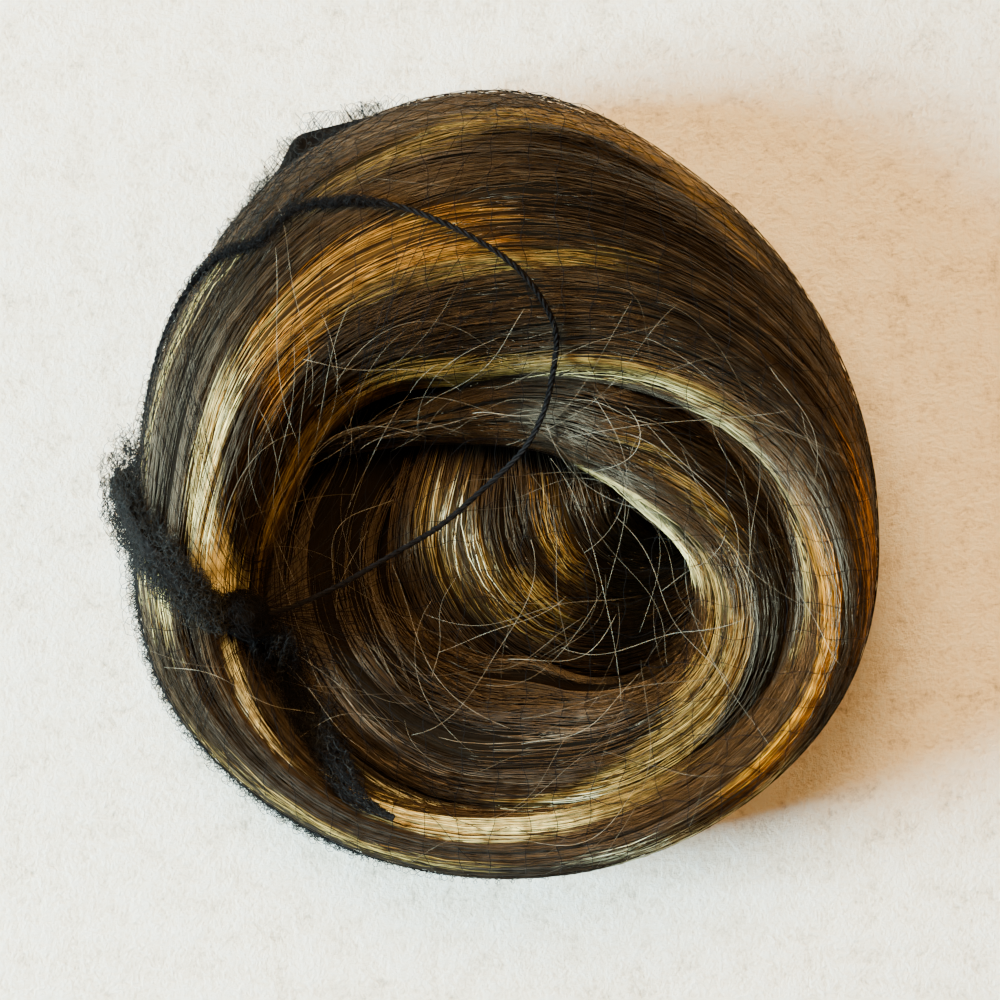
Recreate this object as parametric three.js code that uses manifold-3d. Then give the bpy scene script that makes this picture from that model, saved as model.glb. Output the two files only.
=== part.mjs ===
// Clip-in hair extension: one hank of streaked hair wound into a nest-shaped coil, with its clip
// tucked in at the outside, held in a black hairnet that is gathered into a knot.
// Millimetres, +Z up. The coil lies on z = 0 and the origin is under the middle of its box.
import * as THREE from 'three';
import { mergeVertices } from 'three/addons/utils/BufferGeometryUtils.js';
import Module from 'manifold-3d';

const wasm = await Module();
wasm.setup();

// Driving sizes
const GAP = 0.35; // clear space between pieces that touch
const LOCK_COLUMNS = 3; // facets across one lock of hair
const GROOVE_DEPTH = 0.9; // how far the surface dips between two locks
const GROOVE_FULL_WIDTH = 6; // a section with a smaller half width has shallower grooves
const GROOVE_FLOOR = 3; // no grooves this close to the surface that the coil lies on
const STREAK_DEPTH = 1.8; // how deep a streak lock sits in the hair around it
const STREAK_EDGE = 0.3; // thickness of a streak lock along its edges
const SEAT_SHARE = 0.46; // height of a section's middle in its full height, so that its foot is flat
const BELOW_FLOOR = -5; // a cutting solid reaches down to here
const BOX_MIDDLE = { x: -2.83, y: 0.1 }; // middle of the whole box, from the middle of the coil

// The outer turn, a closed ring: one row for each 30 degrees, clockwise from the far side.
// drift turns the locks around the section, because the hair winds outwards as it goes round.
const OUTER_TURN = {
  centre: { x: 0, y: 0 },
  locks: 12,
  lockStart: -10,
  step: 7.5,
  driftPerTurn: -120,
  rows: [
    { azimuth: 90, outer: 60.8, inner: 16.6, top: 45, drift: 0 },
    { azimuth: 60, outer: 56.0, inner: 18.9, top: 44, drift: -12 },
    { azimuth: 30, outer: 54.6, inner: 26.4, top: 42, drift: -28 },
    { azimuth: 0, outer: 56.4, inner: 40.0, top: 40, drift: -55 },
    { azimuth: -30, outer: 60.6, inner: 49.0, top: 38, drift: -95 },
    { azimuth: -60, outer: 60.9, inner: 49.0, top: 35, drift: -115 },
    { azimuth: -90, outer: 60.6, inner: 49.0, top: 33, drift: -120 },
    { azimuth: -120, outer: 61.4, inner: 50.0, top: 33, drift: -120 },
    { azimuth: -150, outer: 62.0, inner: 43.4, top: 35, drift: -120 },
    { azimuth: -180, outer: 57.2, inner: 32.9, top: 40, drift: -120 },
    { azimuth: -210, outer: 57.7, inner: 26.0, top: 43, drift: -120 },
    { azimuth: -240, outer: 60.2, inner: 18.3, top: 45, drift: -120 },
  ],
};

// The inner turn, an open winding: a thin lock out of the outer turn's wall swells as it goes
// clockwise round the bowl, then leans down into it and ends low.
// radius and height place the middle of a section, lean tips its inner side down.
const INNER_TURN = {
  centre: { x: 3.3, y: -13.6 },
  locks: 9,
  lockStart: -12,
  step: 10,
  rows: [
    { azimuth: 155, radius: 41.0, height: 23, halfWidth: 2.4, halfHeight: 3.5, lean: 0, drift: 0 },
    { azimuth: 140, radius: 33.0, height: 22, halfWidth: 2.8, halfHeight: 3.6, lean: 0, drift: 0 },
    { azimuth: 118, radius: 27.4, height: 20.5, halfWidth: 4.1, halfHeight: 4.2, lean: 0, drift: 0 },
    { azimuth: 98, radius: 26.0, height: 19.5, halfWidth: 5.8, halfHeight: 5.2, lean: 0, drift: 0 },
    { azimuth: 80, radius: 25.8, height: 19, halfWidth: 6.6, halfHeight: 8.5, lean: 0, drift: 0 },
    { azimuth: 60, radius: 26.4, height: 18.5, halfWidth: 8.0, halfHeight: 12.5, lean: 0, drift: 0 },
    { azimuth: 30, radius: 29.4, height: 17, halfWidth: 9.4, halfHeight: 15.0, lean: 0, drift: -20 },
    { azimuth: 0, radius: 34.8, height: 16, halfWidth: 9.4, halfHeight: 15.0, lean: 0, drift: -42 },
    { azimuth: -30, radius: 34.6, height: 16, halfWidth: 9.0, halfHeight: 14.0, lean: 4, drift: -66 },
    { azimuth: -60, radius: 30.0, height: 15.5, halfWidth: 11.0, halfHeight: 12.0, lean: 18, drift: -95 },
    { azimuth: -90, radius: 26.0, height: 15, halfWidth: 14.0, halfHeight: 10.5, lean: 32, drift: -112 },
    { azimuth: -120, radius: 27.5, height: 14.5, halfWidth: 14.6, halfHeight: 10.5, lean: 34, drift: -115 },
    { azimuth: -150, radius: 30.0, height: 14, halfWidth: 13.4, halfHeight: 10.0, lean: 36, drift: -115 },
    { azimuth: -180, radius: 31.0, height: 11, halfWidth: 12.4, halfHeight: 8.5, lean: 34, drift: -115 },
    { azimuth: -210, radius: 30.0, height: 9, halfWidth: 11.0, halfHeight: 7.5, lean: 26, drift: -115 },
    { azimuth: -240, radius: 27.5, height: 7.5, halfWidth: 9.5, halfHeight: 6.5, lean: 15, drift: -115 },
    { azimuth: -265, radius: 26.0, height: 7, halfWidth: 4.0, halfHeight: 4.0, lean: 0, drift: -115 },
  ],
};

// The tail of the hank: a fan in the bottom of the bowl, that falls towards its right side.
const TAIL_FAN = {
  centre: { x: 27.0, y: 1.0 },
  locks: 8,
  lockStart: 0,
  step: 11,
  rows: [
    { azimuth: 150, radius: 27.0, height: 7, halfWidth: 8.0, halfHeight: 4.0, lean: 6, drift: 0 },
    { azimuth: 165, radius: 25.5, height: 8.5, halfWidth: 16.0, halfHeight: 6.0, lean: 10, drift: 0 },
    { azimuth: 180, radius: 24.8, height: 9.5, halfWidth: 20.0, halfHeight: 7.5, lean: 12, drift: 0 },
    { azimuth: 195, radius: 25.5, height: 10, halfWidth: 22.5, halfHeight: 8.0, lean: 12, drift: 0 },
    { azimuth: 212, radius: 25.2, height: 9.5, halfWidth: 22.5, halfHeight: 7.5, lean: 10, drift: 0 },
    { azimuth: 229, radius: 23.8, height: 8, halfWidth: 21.0, halfHeight: 6.5, lean: 8, drift: 0 },
    { azimuth: 248, radius: 20.8, height: 6.5, halfWidth: 18.0, halfHeight: 5.0, lean: 4, drift: 0 },
    { azimuth: 266, radius: 17.2, height: 5.5, halfWidth: 14.4, halfHeight: 4.2, lean: 0, drift: 0 },
    { azimuth: 285, radius: 13.2, height: 5, halfWidth: 10.8, halfHeight: 3.6, lean: 0, drift: 0 },
    { azimuth: 305, radius: 10.0, height: 5, halfWidth: 7.0, halfHeight: 3.0, lean: 0, drift: 0 },
    { azimuth: 320, radius: 9.0, height: 5, halfWidth: 4.0, halfHeight: 2.5, lean: 0, drift: 0 },
  ],
};

// Lighter locks laid flush in the turns: lock counts round the section, first and last are azimuths.
const STREAKS = [
  { name: 'streak_gold_top', turn: 'outer', lock: 1, first: 121, last: 46, shade: 'gold' },
  { name: 'streak_copper', turn: 'outer', lock: 7, first: -202, last: -255, shade: 'copper' },
  { name: 'streak_blonde_left', turn: 'outer', lock: 7, first: -157, last: -196, shade: 'blonde' },
  { name: 'streak_gold_knot', turn: 'outer', lock: 7, first: -119, last: -150, shade: 'gold' },
  { name: 'streak_pale_left', turn: 'outer', lock: 5, first: -186, last: -226, shade: 'blonde' },
  { name: 'streak_edge', turn: 'outer', lock: 5, first: -104, last: -152, shade: 'blonde' },
  { name: 'streak_gold_rim', turn: 'outer', lock: 9, first: -201, last: -268, shade: 'gold' },
  { name: 'streak_copper_right', turn: 'outer', lock: 6, first: 23, last: -60, shade: 'copper' },
  { name: 'streak_blonde_foot', turn: 'outer', lock: 8, first: -66, last: -113, shade: 'blonde' },
  { name: 'streak_blonde_inner', turn: 'inner', lock: 4, first: 60, last: -58, shade: 'blonde' },
  { name: 'streak_blonde_tail', turn: 'tail', lock: 1, first: 170, last: 230, shade: 'blonde' },
  { name: 'streak_blonde_fan', turn: 'tail', lock: 2, first: 170, last: 220, shade: 'blonde' },
];

// The clip: a flat plate with slanted ends, its shorter long side facing outwards
const CLIP = {
  short: 19,
  long: 34,
  width: 9,
  thick: 1.4,
  corner: 1.6,
  x: -23.2,
  y: 53.0,
  height: 14,
  turned: 14,
};

// The hairnet's gathered edge: a bunched band over the outer turn, from the wall up to the knot
const NET_BAND = [
  { azimuth: -181, angle: -16, halfWidth: 5.6, halfThick: 1.8 },
  { azimuth: -180, angle: 4, halfWidth: 6.4, halfThick: 2.57 },
  { azimuth: -177, angle: 26, halfWidth: 5.4, halfThick: 2.3 },
  { azimuth: -172.5, angle: 48, halfWidth: 4.2, halfThick: 2.0 },
  { azimuth: -167, angle: 70, halfWidth: 3.4, halfThick: 1.8 },
  { azimuth: -161, angle: 90, halfWidth: 2.8, halfThick: 1.6 },
  { azimuth: -155.5, angle: 108, halfWidth: 2.5, halfThick: 1.5 },
];
const NET_KNOT = { azimuth: -154, angle: 122, along: 4.4, across: 3.8, halfThick: 2.8 };

// The bunched net below the knot, lying in the groove between the two turns
const NET_FOLD = [
  { x: -39.2, y: -21.0, z: 30.5, halfWidth: 2.4, halfThick: 1.6 },
  { x: -37.6, y: -24.4, z: 26.8, halfWidth: 3.0, halfThick: 1.8 },
  { x: -35.4, y: -29.0, z: 22.6, halfWidth: 3.4, halfThick: 2.0 },
  { x: -33.0, y: -33.8, z: 22.4, halfWidth: 3.5, halfThick: 2.0 },
  { x: -30.6, y: -38.4, z: 25.2, halfWidth: 3.4, halfThick: 1.9 },
  { x: -27.9, y: -42.8, z: 28.4, halfWidth: 3.2, halfThick: 1.7 },
  { x: -24.2, y: -46.6, z: 31.4, halfWidth: 2.8, halfThick: 1.4 },
  { x: -19.4, y: -49.4, z: 32.6, halfWidth: 2.0, halfThick: 1.0 },
];

// The net's edge cord: out of the knot, slack across the bowl, over the outer turn and down its wall
const CORD_DIAMETER = 1.1;
const CORD_ROUTE = [
  [-36.6, -19.4, 33.6],
  [-31.8, -17.8, 31.2],
  [-25.8, -15.0, 28.2],
  [-18.2, -10.6, 25.4],
  [-10.6, -6.0, 24.2],
  [-4.5, -0.8, 24.6],
  [0.2, 3.5, 26.2],
  [3.2, 7.1, 28.4],
  [5.4, 11.9, 31.0],
  [6.6, 17.3, 34.4],
  [7.0, 22.7, 39.2],
  [5.2, 27.2, 43.4],
  [1.6, 31.9, 45.8],
  [-3.6, 35.8, 46.6],
  [-10.2, 39.2, 46.4],
  [-16.8, 41.6, 45.5],
  [-24.3, 42.4, 43.8],
  [-31.9, 41.4, 40.8],
];
// the same cord on the outer turn's wall, as azimuth and angle
const CORD_ON_WALL = [
  [-225, 52],
  [-219, 36],
  [-213, 22],
  [-206, 11],
  [-199, 3],
  [-192, -3],
  [-187, -8],
];
// Facets of the small pieces
const CORNER_FACETS = 4;
const CORD_SIDES = 8;
const CORD_STEPS = 44;
const STRIP_SIDES = 10;
const STRIP_ROWS = 16;
const KNOT_FACETS = { round: 14, upright: 10 };
const WELD = 1e-4; // points closer than this are one point

const FINISHES = {
  hair: { color: 0x3b2a1d, roughness: 0.5 },
  gold: { color: 0xa97c3f, roughness: 0.45 },
  copper: { color: 0x9a5f22, roughness: 0.45 },
  blonde: { color: 0xd3bd84, roughness: 0.45 },
  clip: { color: 0x38332d, roughness: 0.5 },
  net: { color: 0x0d0c0c, roughness: 0.9 },
};

// One column of a table at an azimuth: a cubic curve through the rows on either side.
function columnAt(rows, column, azimuth) {
  const falling = rows[0].azimuth > rows[1].azimuth;
  const passed = rows.filter((row) => (falling ? row.azimuth >= azimuth : row.azimuth <= azimuth));
  const index = Math.min(Math.max(passed.length - 1, 0), rows.length - 2);
  const near = (offset) => rows[Math.min(Math.max(index + offset, 0), rows.length - 1)];
  const slope = (a, b) => (b[column] - a[column]) / (b.azimuth - a.azimuth);
  const [start, end] = [near(0), near(1)];
  const span = end.azimuth - start.azimuth;
  const t = (azimuth - start.azimuth) / span;
  const startRise = slope(near(-1), end) * span;
  const endRise = slope(start, near(2)) * span;
  const [t2, t3] = [t * t, t * t * t];
  return (2 * t3 - 3 * t2 + 1) * start[column] + (t3 - 2 * t2 + t) * startRise
    + (3 * t2 - 2 * t3) * end[column] + (t3 - t2) * endRise;
}

// The ring's rows as sections, with two rows repeated past each end so that it closes smoothly.
function ringSections({ rows, driftPerTurn }) {
  const sections = rows.map(({ azimuth, outer, inner, top, drift }) => ({
    azimuth,
    drift,
    lean: 0,
    radius: (outer + inner) / 2,
    halfWidth: (outer - inner) / 2,
    height: SEAT_SHARE * top,
    halfHeight: (1 - SEAT_SHARE) * top,
  }));
  const moved = (row, turns) => ({
    ...row,
    azimuth: row.azimuth - 360 * turns,
    drift: row.drift + driftPerTurn * turns,
  });
  return [
    ...sections.slice(-2).map((row) => moved(row, -1)),
    ...sections,
    ...sections.slice(0, 3).map((row) => moved(row, 1)),
  ];
}

// A turn of hair: its table as a surface of azimuth and of angle round the section.
function makeTurn(table, sections, ring) {
  const columns = table.locks * LOCK_COLUMNS;
  const first = table.rows[0].azimuth;
  const last = ring ? first - 360 : table.rows.at(-1).azimuth;
  const steps = Math.round(Math.abs(last - first) / table.step);
  const length = ring ? steps : steps + 1;
  const stations = Array.from({ length }, (_, i) => first + (i * (last - first)) / steps);
  const value = (column, azimuth) => columnAt(sections, column, azimuth);

  // angle is 0 outwards and 90 upwards; lift moves the point along the surface's normal
  function pointAt(azimuth, angle, lift, floor = 0) {
    const a = THREE.MathUtils.degToRad(angle);
    const lean = THREE.MathUtils.degToRad(value('lean', azimuth));
    const turned = THREE.MathUtils.degToRad(azimuth);
    const halfWidth = value('halfWidth', azimuth);
    const halfHeight = value('halfHeight', azimuth);
    const normal = new THREE.Vector2(Math.cos(a) / halfWidth, Math.sin(a) / halfHeight).normalize();
    const out = halfWidth * Math.cos(a) + lift * normal.x;
    const up = halfHeight * Math.sin(a) + lift * normal.y;
    const radius = value('radius', azimuth) + out * Math.cos(lean) - up * Math.sin(lean);
    const z = value('height', azimuth) + out * Math.sin(lean) + up * Math.cos(lean);
    return new THREE.Vector3(
      table.centre.x + radius * Math.cos(turned),
      table.centre.y + radius * Math.sin(turned),
      Math.max(z, floor),
    );
  }

  // the same by column, with the groove that parts two locks
  function columnPoint(azimuth, column, lift, floor = 0) {
    const angle = table.lockStart + (360 * column) / columns + value('drift', azimuth);
    const smooth = pointAt(azimuth, angle, lift, floor);
    if (column % LOCK_COLUMNS !== 0 || smooth.z <= GROOVE_FLOOR) return smooth;
    const groove = GROOVE_DEPTH * Math.min(1, value('halfWidth', azimuth) / GROOVE_FULL_WIDTH);
    return pointAt(azimuth, angle, lift - groove, floor);
  }
  const shift = ring ? Math.round((table.driftPerTurn / 360) * columns) : null;
  return { ring, columns, stations, shift, pointAt, columnPoint };
}

// A closed body from rings of points; a ring turn joins its last row to its first, some columns on.
function bodyFromRings(rings, closedShift = null) {
  const count = rings[0].length;
  const points = rings.flat();
  const triangles = [];
  const at = (i, j) => i * count + ((j + count) % count);
  const quad = (a, b, c, d) => triangles.push(a, b, c, a, c, d);
  for (let i = 0; i + 1 < rings.length; i += 1) {
    for (let j = 0; j < count; j += 1) quad(at(i, j), at(i, j + 1), at(i + 1, j + 1), at(i + 1, j));
  }
  const end = rings.length - 1;
  if (closedShift !== null) {
    for (let j = 0; j < count; j += 1) {
      quad(at(end, j), at(end, j + 1), at(0, j + 1 + closedShift), at(0, j + closedShift));
    }
  } else {
    const middle = (ring) => ring.reduce((sum, p) => sum.add(p), new THREE.Vector3()).divideScalar(count);
    points.push(middle(rings[0]), middle(rings[end]));
    for (let j = 0; j < count; j += 1) {
      triangles.push(points.length - 2, at(0, j + 1), at(0, j));
      triangles.push(points.length - 1, at(end, j), at(end, j + 1));
    }
  }
  return facingOut(points, triangles);
}

// Indexed geometry whose triangles face outwards: they are turned round if its volume is negative.
function facingOut(points, triangles) {
  let volume = 0;
  for (let i = 0; i < triangles.length; i += 3) {
    const [a, b, c] = triangles.slice(i, i + 3).map((k) => points[k]);
    volume += a.dot(b.clone().cross(c));
  }
  const geometry = new THREE.BufferGeometry().setFromPoints(points);
  geometry.setIndex(volume > 0 ? triangles : triangles.slice().reverse());
  return geometry;
}

// Joins and cuts
function toSolid(geometry) {
  const bare = geometry.clone();
  bare.deleteAttribute('normal');
  bare.deleteAttribute('uv');
  const merged = mergeVertices(bare, WELD);
  const vertProperties = new Float32Array(merged.attributes.position.array);
  const triVerts = new Uint32Array(merged.index.array);
  return new wasm.Manifold(new wasm.Mesh({ numProp: 3, vertProperties, triVerts }));
}

function toGeometry(solid) {
  const mesh = solid.getMesh();
  const geometry = new THREE.BufferGeometry();
  geometry.setAttribute('position', new THREE.BufferAttribute(mesh.vertProperties, 3));
  geometry.setIndex(new THREE.BufferAttribute(mesh.triVerts, 1));
  return geometry;
}

const cut = (geometry, ...tools) =>
  toGeometry(tools.reduce((solid, tool) => solid.subtract(toSolid(tool)), toSolid(geometry)));

// Thickness of a streak lock at one of its columns
const streakThickness = (column) => (column % LOCK_COLUMNS === 0 ? STREAK_EDGE : STREAK_DEPTH - GAP);
const streakColumns = ({ lock }) =>
  Array.from({ length: LOCK_COLUMNS + 1 }, (_, j) => lock * LOCK_COLUMNS + j);

// The turn's stations that a streak covers; a ring's stations go on past its seam
function streakStations(turn, { first, last }) {
  const [low, high] = [Math.min(first, last), Math.max(first, last)];
  const seams = turn.ring ? [360, 0, -360] : [0];
  return seams.flatMap((seam) => turn.stations.map((azimuth) => azimuth + seam))
    .filter((azimuth) => azimuth >= low && azimuth <= high);
}

// How far each streak sinks the turn under it, by station and column
function streakSeats(turn, streaks) {
  const seats = new Map();
  const [start] = turn.stations;
  for (const streak of streaks) {
    for (const azimuth of streakStations(turn, streak)) {
      const turnsOn = turn.ring ? Math.ceil((azimuth - start) / 360) : 0;
      for (const column of streakColumns(streak)) {
        const moved = column - turnsOn * turn.shift;
        const wrapped = ((moved % turn.columns) + turn.columns) % turn.columns;
        seats.set(`${azimuth - 360 * turnsOn}/${wrapped}`, -(streakThickness(column) + GAP));
      }
    }
  }
  return (azimuth, column) => seats.get(`${azimuth}/${column}`) ?? 0;
}

// The turn's own body, with a seat under each streak lock
function turnBody(turn, streaks) {
  const seat = streakSeats(turn, streaks);
  const rings = turn.stations.map((azimuth) => Array.from({ length: turn.columns }, (_, column) =>
    turn.columnPoint(azimuth, column, seat(azimuth, column))));
  return bodyFromRings(rings, turn.shift);
}

// The turn made larger all round by the clear space, to cut its neighbours with
function turnGrown(turn) {
  const rings = turn.stations.map((azimuth) => Array.from({ length: turn.columns }, (_, column) =>
    turn.columnPoint(azimuth, column, GAP, BELOW_FLOOR)));
  return bodyFromRings(rings, turn.shift);
}

function streakBody(turn, streak) {
  const columns = streakColumns(streak);
  const rings = streakStations(turn, streak).map((azimuth) => [
    ...columns.map((column) => turn.columnPoint(azimuth, column, 0)),
    ...columns.map((column) => turn.columnPoint(azimuth, column, -streakThickness(column))).reverse(),
  ]);
  return bodyFromRings(rings);
}

const turns = {
  outer: makeTurn(OUTER_TURN, ringSections(OUTER_TURN), true),
  inner: makeTurn(INNER_TURN, INNER_TURN.rows, false),
  tail: makeTurn(TAIL_FAN, TAIL_FAN.rows, false),
};
const { outer, inner, tail } = turns;
const streaksOn = (name) => STREAKS.filter((streak) => streak.turn === name);

const extension = new THREE.Group();
extension.position.set(-BOX_MIDDLE.x, -BOX_MIDDLE.y, 0);
function add(name, geometry, finish) {
  const mesh = new THREE.Mesh(geometry, new THREE.MeshStandardMaterial(FINISHES[finish]));
  mesh.name = name;
  extension.add(mesh);
}

// The clip's plate, or the same plate larger by grow on every side
function clipPlate(grow) {
  const { short, long, width, thick, corner } = CLIP;
  const half = width / 2 + grow;
  const slant = grow / Math.cos(Math.atan2((long - short) / 2, width));
  const corners = [
    [-long / 2 - slant, -half],
    [long / 2 + slant, -half],
    [short / 2 + slant, half],
    [-short / 2 - slant, half],
  ].map(([x, y]) => new THREE.Vector2(x, y));
  const outline = new THREE.Shape();
  corners.forEach((point, i) => {
    const before = corners[(i + 3) % 4].clone().sub(point).setLength(corner).add(point);
    const after = corners[(i + 1) % 4].clone().sub(point).setLength(corner).add(point);
    if (i === 0) outline.moveTo(before.x, before.y);
    else outline.lineTo(before.x, before.y);
    outline.quadraticCurveTo(point.x, point.y, after.x, after.y);
  });
  outline.closePath();
  const depth = thick + 2 * grow;
  const options = { depth, bevelEnabled: false, curveSegments: CORNER_FACETS };
  const plate = new THREE.ExtrudeGeometry(outline, options);
  plate.translate(0, 0, -depth / 2);
  plate.rotateZ(THREE.MathUtils.degToRad(CLIP.turned));
  return plate.translate(CLIP.x, CLIP.y, CLIP.height);
}

// A bunched strip of net: ellipses set across its path, with their thin way along the normals
function netStrip(centres, normals, rows) {
  const rings = centres.map((centre, i) => {
    const ahead = centres[Math.min(i + 1, centres.length - 1)];
    const behind = centres[Math.max(i - 1, 0)];
    const along = ahead.clone().sub(behind).normalize();
    const across = along.clone().cross(normals[i]).normalize();
    const upright = across.clone().cross(along);
    return Array.from({ length: STRIP_SIDES }, (_, k) => {
      const turned = (2 * Math.PI * k) / STRIP_SIDES;
      return centre.clone()
        .addScaledVector(across, rows[i].halfWidth * Math.cos(turned))
        .addScaledVector(upright, rows[i].halfThick * Math.sin(turned));
    });
  });
  return bodyFromRings(rings);
}

// Rows of a table blended into more, evenly spaced ones
function finer(rows, count) {
  const keys = Object.keys(rows[0]);
  const points = (key) => rows.map((row, i) => new THREE.Vector3(i, row[key], 0));
  const curves = keys.map((key) => new THREE.CatmullRomCurve3(points(key)));
  return Array.from({ length: count }, (_, i) =>
    Object.fromEntries(keys.map((key, k) => [key, curves[k].getPoint(i / (count - 1)).y])));
}

const normalAt = (azimuth, angle) =>
  outer.pointAt(azimuth, angle, 1).sub(outer.pointAt(azimuth, angle, 0)).normalize();

function netBand() {
  const rows = finer(NET_BAND, STRIP_ROWS);
  const centres = rows.map((row) => outer.pointAt(row.azimuth, row.angle, row.halfThick + GAP));
  const normals = rows.map((row) => normalAt(row.azimuth, row.angle));
  return netStrip(centres, normals, rows);
}

function netFold() {
  const rows = finer(NET_FOLD, STRIP_ROWS);
  const centres = rows.map((row) => new THREE.Vector3(row.x, row.y, row.z));
  return netStrip(centres, rows.map(() => new THREE.Vector3(0, 0, 1)), rows);
}

function netKnot(grow) {
  const { azimuth, angle, along, across, halfThick } = NET_KNOT;
  const knot = new THREE.SphereGeometry(1, KNOT_FACETS.round, KNOT_FACETS.upright);
  knot.scale(along + grow, across + grow, halfThick + grow);
  const upright = new THREE.Vector3(0, 0, 1);
  knot.applyQuaternion(new THREE.Quaternion().setFromUnitVectors(upright, normalAt(azimuth, angle)));
  const seat = outer.pointAt(azimuth, angle, halfThick + GAP);
  return knot.translate(seat.x, seat.y, seat.z);
}

function netCord() {
  const lift = CORD_DIAMETER / 2 + GAP;
  const route = [
    ...CORD_ROUTE.map((point) => new THREE.Vector3(...point)),
    ...CORD_ON_WALL.map(([azimuth, angle]) => outer.pointAt(azimuth, angle, lift)),
  ];
  const section = new THREE.Shape(Array.from({ length: CORD_SIDES }, (_, k) => {
    const turned = (2 * Math.PI * k) / CORD_SIDES;
    return new THREE.Vector2(Math.cos(turned), Math.sin(turned)).multiplyScalar(CORD_DIAMETER / 2);
  }));
  const extrudePath = new THREE.CatmullRomCurve3(route);
  return new THREE.ExtrudeGeometry(section, { extrudePath, steps: CORD_STEPS });
}

// A turn and the streaks in it keep clear of the turns that lie round it
const hairGrown = [turnGrown(inner), turnGrown(outer)];
const around = { outer: [], inner: hairGrown.slice(1), tail: hairGrown };

add('outer_turn', cut(turnBody(outer, streaksOn('outer')), clipPlate(GAP)), 'hair');
add('inner_turn', cut(turnBody(inner, streaksOn('inner')), ...around.inner), 'hair');
add('tail_fan', cut(turnBody(tail, streaksOn('tail')), ...around.tail), 'hair');
for (const streak of STREAKS) {
  add(streak.name, cut(streakBody(turns[streak.turn], streak), ...around[streak.turn]), streak.shade);
}
add('clip', clipPlate(0), 'clip');
add('net_knot', cut(netKnot(0), ...hairGrown), 'net');
add('net_band', cut(netBand(), netKnot(GAP), ...hairGrown), 'net');
add('net_fold', cut(netFold(), netKnot(GAP), ...hairGrown), 'net');
add('net_cord', cut(netCord(), netKnot(GAP)), 'net');

export default extension;
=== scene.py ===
# %% [markdown]
# # A clip-in hair extension, coiled in its hairnet
#
# One long hank of streaked hair lies wound into a nest. A thick outer turn makes the wall, an inner
# turn runs down into the bowl, and the loose tail fans out at the bottom. A black hairnet holds it
# together, gathered into a knot, with a slack edge cord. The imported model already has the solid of
# each winding. This lesson dresses those solids in combed hair, thread and cord.

import bpy
import numpy as np
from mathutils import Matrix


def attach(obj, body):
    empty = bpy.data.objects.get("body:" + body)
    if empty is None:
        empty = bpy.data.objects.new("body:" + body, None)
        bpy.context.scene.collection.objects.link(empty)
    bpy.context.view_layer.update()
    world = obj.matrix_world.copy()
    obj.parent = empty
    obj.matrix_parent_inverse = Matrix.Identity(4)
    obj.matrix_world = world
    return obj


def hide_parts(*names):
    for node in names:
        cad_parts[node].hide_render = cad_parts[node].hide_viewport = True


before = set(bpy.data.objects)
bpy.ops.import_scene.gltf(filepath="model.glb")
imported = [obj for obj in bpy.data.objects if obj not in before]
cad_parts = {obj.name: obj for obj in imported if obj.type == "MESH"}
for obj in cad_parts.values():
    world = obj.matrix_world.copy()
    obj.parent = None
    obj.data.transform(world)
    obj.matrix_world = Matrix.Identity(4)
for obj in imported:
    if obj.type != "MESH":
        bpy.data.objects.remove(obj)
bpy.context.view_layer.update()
draw = np.random.default_rng(11)

# %% [markdown]
# ## Camera, floor and light
#
# The view is straight down from about an arm's length, so a long lens sits above the coil with its
# top edge towards +Y. Sizes are written in millimetres, as in the solid model. The tables below count
# from the middle of the coil, which lies a little beside the origin and is kept as one named value.

# %% Camera
MM = 0.001
COIL_MIDDLE = np.array([2.83, -0.10, 0.0])
CAMERA_PLACE = np.array([1.43, -2.12, 600.0])
SENSOR = 36.0
VIEW_WIDTH = 155.0
VIEW_LEVEL = 20.0

bpy.ops.object.select_all(action="DESELECT")
bpy.ops.object.camera_add(location=CAMERA_PLACE * MM, rotation=(0, 0, 0))
camera = bpy.context.object
camera.data.sensor_width = SENSOR
camera.data.lens = SENSOR * (CAMERA_PLACE[2] - VIEW_LEVEL) / VIEW_WIDTH
bpy.context.scene.camera = camera
print("lens", round(camera.data.lens, 1), "mm, looking straight down")

# %% Helpers for materials
def new_material(name):
    """A material with one Principled shader, its node tree and that shader."""
    made = bpy.data.materials.new(name)
    made.use_nodes = True
    return made, made.node_tree, made.node_tree.nodes["Principled BSDF"]


def linear(colour):
    """A colour written as six hexadecimal digits, as linear red, green and blue."""
    shares = np.array([int(colour[i:i + 2], 16) for i in (0, 2, 4)]) / 255
    return np.where(shares <= 0.04045, shares / 12.92, ((shares + 0.055) / 1.055) ** 2.4)


def ramp(tree, source, stops):
    """A colour ramp fed by a node's output; stops are (place, six-digit colour)."""
    node = tree.nodes.new("ShaderNodeValToRGB")
    while len(node.color_ramp.elements) < len(stops):
        node.color_ramp.elements.new(0.5)
    for element, (place, colour) in zip(node.color_ramp.elements, stops):
        element.position = place
        element.color = (*linear(colour), 1)
    tree.links.new(source, node.inputs["Fac"])
    return node.outputs["Color"]


def noise(tree, vector, scale, detail=4.0, roughness=0.55):
    """A grey noise pattern, read at the given coordinates."""
    node = tree.nodes.new("ShaderNodeTexNoise")
    node.inputs["Scale"].default_value = scale
    node.inputs["Detail"].default_value = detail
    node.inputs["Roughness"].default_value = roughness
    tree.links.new(vector, node.inputs["Vector"])
    return node.outputs["Fac"]


def bump(tree, shader, height, strength, distance):
    """Relief on a shader from a grey pattern; the distance is in metres."""
    node = tree.nodes.new("ShaderNodeBump")
    node.inputs["Strength"].default_value = strength
    node.inputs["Distance"].default_value = distance
    tree.links.new(height, node.inputs["Height"])
    tree.links.new(node.outputs["Normal"], shader.inputs["Normal"])


def object_place(tree):
    """The place on the piece itself, which stays with it wherever it is moved."""
    return tree.nodes.new("ShaderNodeTexCoord").outputs["Object"]


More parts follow.
